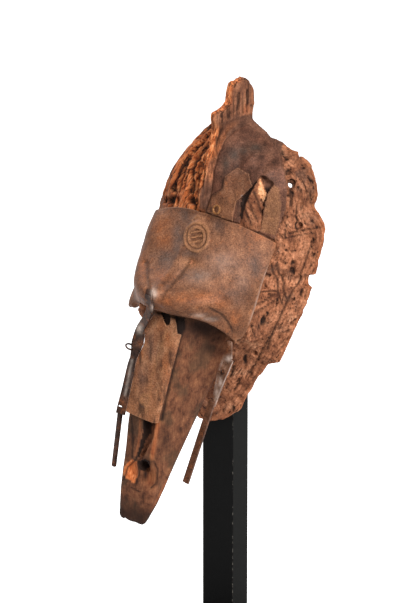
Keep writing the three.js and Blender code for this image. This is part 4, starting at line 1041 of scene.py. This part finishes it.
def laid_sheet(name, x_range, z_range, painter):
    """A CAD sheet laid again as a fine grid: its own front is read by rays, its edge stays ragged."""
    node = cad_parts[name].data
    tree = BVHTree.FromPolygons([v.co for v in node.vertices], [f.vertices for f in node.polygons])
    step = LAID_STEP.fine
    xs = np.arange(*x_range, step)
    zs = np.arange(*z_range, step)
    depth = np.full((len(xs), len(zs)), np.nan)
    for i, px in enumerate(xs):
        for j, pz in enumerate(zs):
            hit = tree.ray_cast(Vector((px * MM, IN_FRONT * MM, pz * MM)), Vector((0, 1, 0)))[0]
            if hit is not None:
                depth[i, j] = hit.y / MM
    known = ~np.isnan(depth)
    filled = carried_on(depth)
    for _ in range(2):
        around = np.pad(filled, 1, mode="edge")
        sides = around[2:, 1:-1] + around[:-2, 1:-1] + around[1:-1, 2:] + around[1:-1, :-2]
        filled = 0.5 * filled + 0.125 * sides
    x, z = np.meshgrid(xs, zs, indexing="ij")
    points = np.stack([x, filled, z], -1)
    flat = points.reshape(-1, 3)
    points[..., 1] += (0.5 * layered(flat / 15, 151) + 0.3 * noise(flat / 6, 157)).reshape(x.shape) + 0.15
    keep = known[:-1, :-1] & known[1:, :-1] & known[:-1, 1:] & known[1:, 1:]
    return thick_sheet(name, points, keep, painter(*seen(points)))


# Marks on the cap and its patch: the flap right of the ear painted lighter as painted light, and painted
# shadows beside the ear, the crest and the patch's edge
CAP_FLAP = [(273, 185), (279, 188), (281, 205), (277, 236), (260, 231), (264, 209), (267.5, 193)]
EAR_SHADE = [(256, 183), (248, 193), (243, 204), (241, 216)]
CAP_STEP = [(223, 179), (223, 189), (210, 197), (211, 211)]
CAP_GREY = [(0.9, [(234, 155, 6, 6), (255, 147.5, 8, 5), (243, 151, 6, 4), (226, 163, 4, 7)])]
CAP_RUST = [(0.6, [(262, 141, 8, 4), (270, 232, 5, 6), (215, 190, 6, 8), (284, 170, 4, 20)])]
# Dark spots, and painted shade at the top of the ear's slot
CAP_DARK = [(0.7, [(265, 143, 2, 3), (283, 152, 3, 3), (262, 157, 2, 2)]),
            (0.4, [(205, 182, 4, 14), (228, 150, 10, 5)]), (0.5, [(266, 181, 6, 4)])]
# Painted shadows along the crest's foot, the patch's step and beside the ear
CAP_DARK_LINES = [(0.65, [(224, 127), (217, 141), (207, 165), (200, 195)], 5), (0.6, CAP_STEP, 2.5),
                  (0.85, EAR_SHADE, 6)]
PATCH_GREY = [(0.3, [(238, 172, 9, 4)])]
PATCH_GOLD = [(0.3, [(225, 210, 10, 9), (235, 200, 8, 8)])]
PATCH_PALE = [(0.8, [(242, 196, 0.8, 0.8)])]
PATCH_DARK = [(0.35, [(240, 183, 5, 4), (249, 178, 4, 3)])]
# Painted shadows at the patch's step and beside the ear
PATCH_DARK_LINES = [(0.5, CAP_STEP, 2.0), (0.55, EAR_SHADE, 8)]


def cap_paint(across, down):
    # Painted light: the flap right of the ear, which faces the light, painted lighter
    flap_painted_lighter = 0.75 * inside(across, down, CAP_FLAP)
    return {"grey": marked(across, down, CAP_GREY), "rust": marked(across, down, CAP_RUST), "gold": flap_painted_lighter,
            "dark": marked(across, down, CAP_DARK, CAP_DARK_LINES) * (1 - flap_painted_lighter)}


def patch_paint(across, down):
    return {"grey": marked(across, down, PATCH_GREY), "gold": marked(across, down, PATCH_GOLD),
            "pale": marked(across, down, PATCH_PALE),
            "dark": marked(across, down, PATCH_DARK, PATCH_DARK_LINES)}


# Iron gone rust brown on the brow, dull and greenish grey on the cap; a yellower alloy on the nose
brow_metal = sheet_material("hammered_rusty_iron", "#62412f", "#865a40", "#a67454")
nose_metal = sheet_material("folded_copper_alloy", "#724a35", "#a06c4c", "#c6926c")
cap_metal = sheet_material("hammered_smoked_iron", "#4a3126", "#684536", "#845b47", dull="#494b45",
                           rust="#93604a")
patch_metal = sheet_material("hammered_brown_iron", "#603f2c", "#82563e", "#9a6c50")
for name, mesh, metal, slot_name in (
        ("brow_sheet", brow_sheet(), brow_metal, "brow_metal"),
        ("nose_sheet", nose_sheet(), nose_metal, "nose_metal"),
        ("cap_sheet", laid_sheet("cap_sheet", (4, 90), (490, 602), cap_paint), cap_metal, "hammered_sheet"),
        ("cap_patch", laid_sheet("cap_patch", (4, 60), (506, 572), patch_paint), patch_metal,
         "hammered_sheet")):
    place(name, mesh, metal, [name])


# Straps, rods and the stand take the CAD's own form. Marks on the straps, wear with painted highlights and
# painted shade, measured in the picture
LEFT_STRAP_MARKS = {
    "pale": [(0.95, [(153.5, 293.3, 2.4, 4), (153, 308, 1.8, 2.5), (139.5, 329, 2.5, 4)])],
    "grey": [(0.7, [(130, 372, 4, 16), (126, 393, 3, 9)])],
    "rust": [(0.6, [(124, 404, 5, 7), (141, 344, 3, 3)])],
}
# A painted highlight along the inner edge
LEFT_STRAP_EDGE_HIGHLIGHT = [(0.45, [(132, 360), (129, 375), (125, 395)], 2.2)]
RIGHT_STRAP_MARKS = {
    "pale": [(0.9, [(229.5, 358.5, 3.6, 2.4), (220.5, 382, 1.4, 5), (216.5, 394, 1.2, 6)])],
    "rust": [(0.7, [(222.5, 372, 4, 4), (226, 350, 3, 7)])],
}
# Painted highlights along both edges
RIGHT_STRAP_EDGE_HIGHLIGHTS = [(0.55, [(233, 362), (228, 374), (220, 390), (215, 405)], 1.2),
                     (0.35, [(223, 360), (217, 376), (211, 400)], 1.0)]
PIN_HOLE = SimpleNamespace(across=222.5, down=372.2, radius=2.8)
FINEST_EDGE = 4  # in mm, past which a strap's edges are divided


def left_strap_wear_and_highlights(across, down):
    """White spots, partly worn and partly painted highlights, the scraped outer side and a painted highlight
    on the inner edge.
    """
    paints = {key: marked(across, down, rows) for key, rows in LEFT_STRAP_MARKS.items()}
    paints["pale"] = np.maximum(paints["pale"], marked(across, down, lines=LEFT_STRAP_EDGE_HIGHLIGHT))
    return paints


def right_strap_highlights_and_shade(across, down):
    """Painted highlights at its knuckle and along both edges, painted shade in its pin hole."""
    paints = {key: marked(across, down, rows) for key, rows in RIGHT_STRAP_MARKS.items()}
    paints["pale"] = np.maximum(paints["pale"], marked(across, down, lines=RIGHT_STRAP_EDGE_HIGHLIGHTS))
    # Painted shade in the pin hole
    from_hole = np.hypot(across - PIN_HOLE.across, down - PIN_HOLE.down)
    paints["dark"] = smooth(PIN_HOLE.radius, PIN_HOLE.radius - 1, from_hole)
    return paints


def finished(name, mat, soften=0.0, wear=None):
    """A CAD piece with its sharp edges softened, or divided finely enough to store its wear and painted
    light.
    """
    mesh = cad_piece(name)
    bm = bmesh.new()
    bm.from_mesh(mesh)
    if soften:
        sharp = [e for e in bm.edges if len(e.link_faces) == 2 and e.calc_face_angle(0) > 0.5]
        bmesh.ops.bevel(bm, geom=sharp, offset=soften * MM, segments=2, profile=0.5, affect="EDGES",
                        material=-1)
    if wear:
        long_edges = [e for e in bm.edges if e.calc_length() > FINEST_EDGE * MM]
        bmesh.ops.subdivide_edges(bm, edges=long_edges, cuts=6, use_grid_fill=True)
        bmesh.ops.triangulate(bm, faces=bm.faces[:])
    bm.to_mesh(mesh)
    bm.free()
    for key, values in (wear(*seen(points_of(mesh))) if wear else {}).items():
        paint(mesh, key, values)
    place(name, mesh, mat, [name])


# Forged iron, dark under old rust; a strip rubbed bright; a brown rolled bar; a ring of wire gone orange
forged_iron = sheet_material("forged_dark_iron", "#2c1f1a", "#46322a", "#654a3e", 0.35, 0.5)
rubbed_iron = sheet_material("cut_rubbed_iron", "#5e4030", "#835f4b", "#ab8670", 0.35, 0.45)
brown_iron = sheet_material("rolled_brown_iron", "#4d3326", "#6e4a36", "#8d6550", 0.3, 0.5)
rusty_wire = sheet_material("drawn_orange_iron_wire", "#7c5230", "#a06e42", "#bb8757", 0.3, 0.45)
black_paint = paint_material()

finished("eyelet", rusty_wire)
finished("left_pendant", forged_iron, wear=left_strap_wear_and_highlights)
finished("left_ring", forged_iron)
finished("left_rod", forged_iron)
finished("right_pendant", rubbed_iron, wear=right_strap_highlights_and_shade)
finished("right_bar", brown_iron)
finished("post", black_paint, soften=0.8)
finished("foot", black_paint, soften=1.5)


# The studio: a sheet of white paper, three soft lights and the camera
PAPER_HALF = 30
AWAY = (-math.sin(turn), math.cos(turn), 0)
GLOW = SimpleNamespace(near=0.03, far=0.14, least=0.1)
# Each light: azimuth (0 the front, 90 the right) and elevation in degrees, distance and size in m, watts
LIGHTS = {"key": (72, 42, 1.8, 0.8, 45), "front": (8, 44, 2.0, 0.9, 12), "edge": (-100, 35, 1.8, 0.8, 12)}
LIT_POINT = Vector((0, -50, 420)) * MM
SENSOR = 36.0


def paper_material():
    """Matt white paper that glows, a painted light, strongly behind the mask, as in a studio, and softly in
    front of it.
    """
    mat, tree, shader = material("matt_white_paper")
    behind = add(tree, "VectorMath", {0: add(tree, "TexCoord", out="Object"), 1: AWAY}, "Value",
                 operation="DOT_PRODUCT")
    glow = add(tree, "MapRange", {"Value": behind, "From Min": GLOW.near, "From Max": GLOW.far,
                                  "To Min": GLOW.least}, interpolation_type="SMOOTHSTEP")
    connect(tree, shader, {"Base Color": "#e9e9e9", "Roughness": 0.9, "Metallic": 0.0,
                           "Emission Color": "#ffffff", "Emission Strength": glow})
    return mat


def paper_floor():
    mesh = bpy.data.meshes.new("floor")
    bm = bmesh.new()
    bmesh.ops.create_grid(bm, x_segments=1, y_segments=1, size=PAPER_HALF)
    bm.to_mesh(mesh)
    bm.free()
    mesh.materials.append(paper_material())
    floor = bpy.data.objects.new("floor", mesh)
    bpy.context.scene.collection.objects.link(floor)
    return floor


def softbox(name, azimuth, elevation, distance, size, power):
    """A square light looking at the mask from the given side."""
    a, e = math.radians(azimuth), math.radians(elevation)
    away = Vector((math.sin(a) * math.cos(e), -math.cos(a) * math.cos(e), math.sin(e)))
    light = bpy.data.lights.new(name, "AREA")
    light.size = size
    light.energy = power
    obj = bpy.data.objects.new(name, light)
    obj.location = LIT_POINT + away * distance
    obj.rotation_euler = away.to_track_quat("Z", "Y").to_euler()
    bpy.context.scene.collection.objects.link(obj)


def picture_camera():
    """A long lens that sees the mask as the photograph does."""
    data = bpy.data.cameras.new("camera")
    data.sensor_fit = "VERTICAL"
    data.sensor_height = SENSOR
    data.lens = DISTANCE / PIXEL * SENSOR / PICTURE[1]
    data.clip_start = 0.1
    data.clip_end = 100
    camera = bpy.data.objects.new("camera", data)
    axes = Matrix([Vector(axis) for axis in (RIGHT, UPWARDS, TOWARDS)]).transposed().to_4x4()
    camera.matrix_world = Matrix.Translation(Vector((AIM + TOWARDS * DISTANCE) * MM)) @ axes
    bpy.context.scene.collection.objects.link(camera)
    return camera


paper_floor()
world = bpy.data.worlds.new("studio")
world.use_nodes = True
connect(world.node_tree, world.node_tree.nodes["Background"], {"Color": "#ffffff", "Strength": 0.2})
bpy.context.scene.world = world
for name, placing in LIGHTS.items():
    softbox(name, *placing)
bpy.context.scene.camera = picture_camera()
bpy.context.scene.view_settings.view_transform = "Standard"
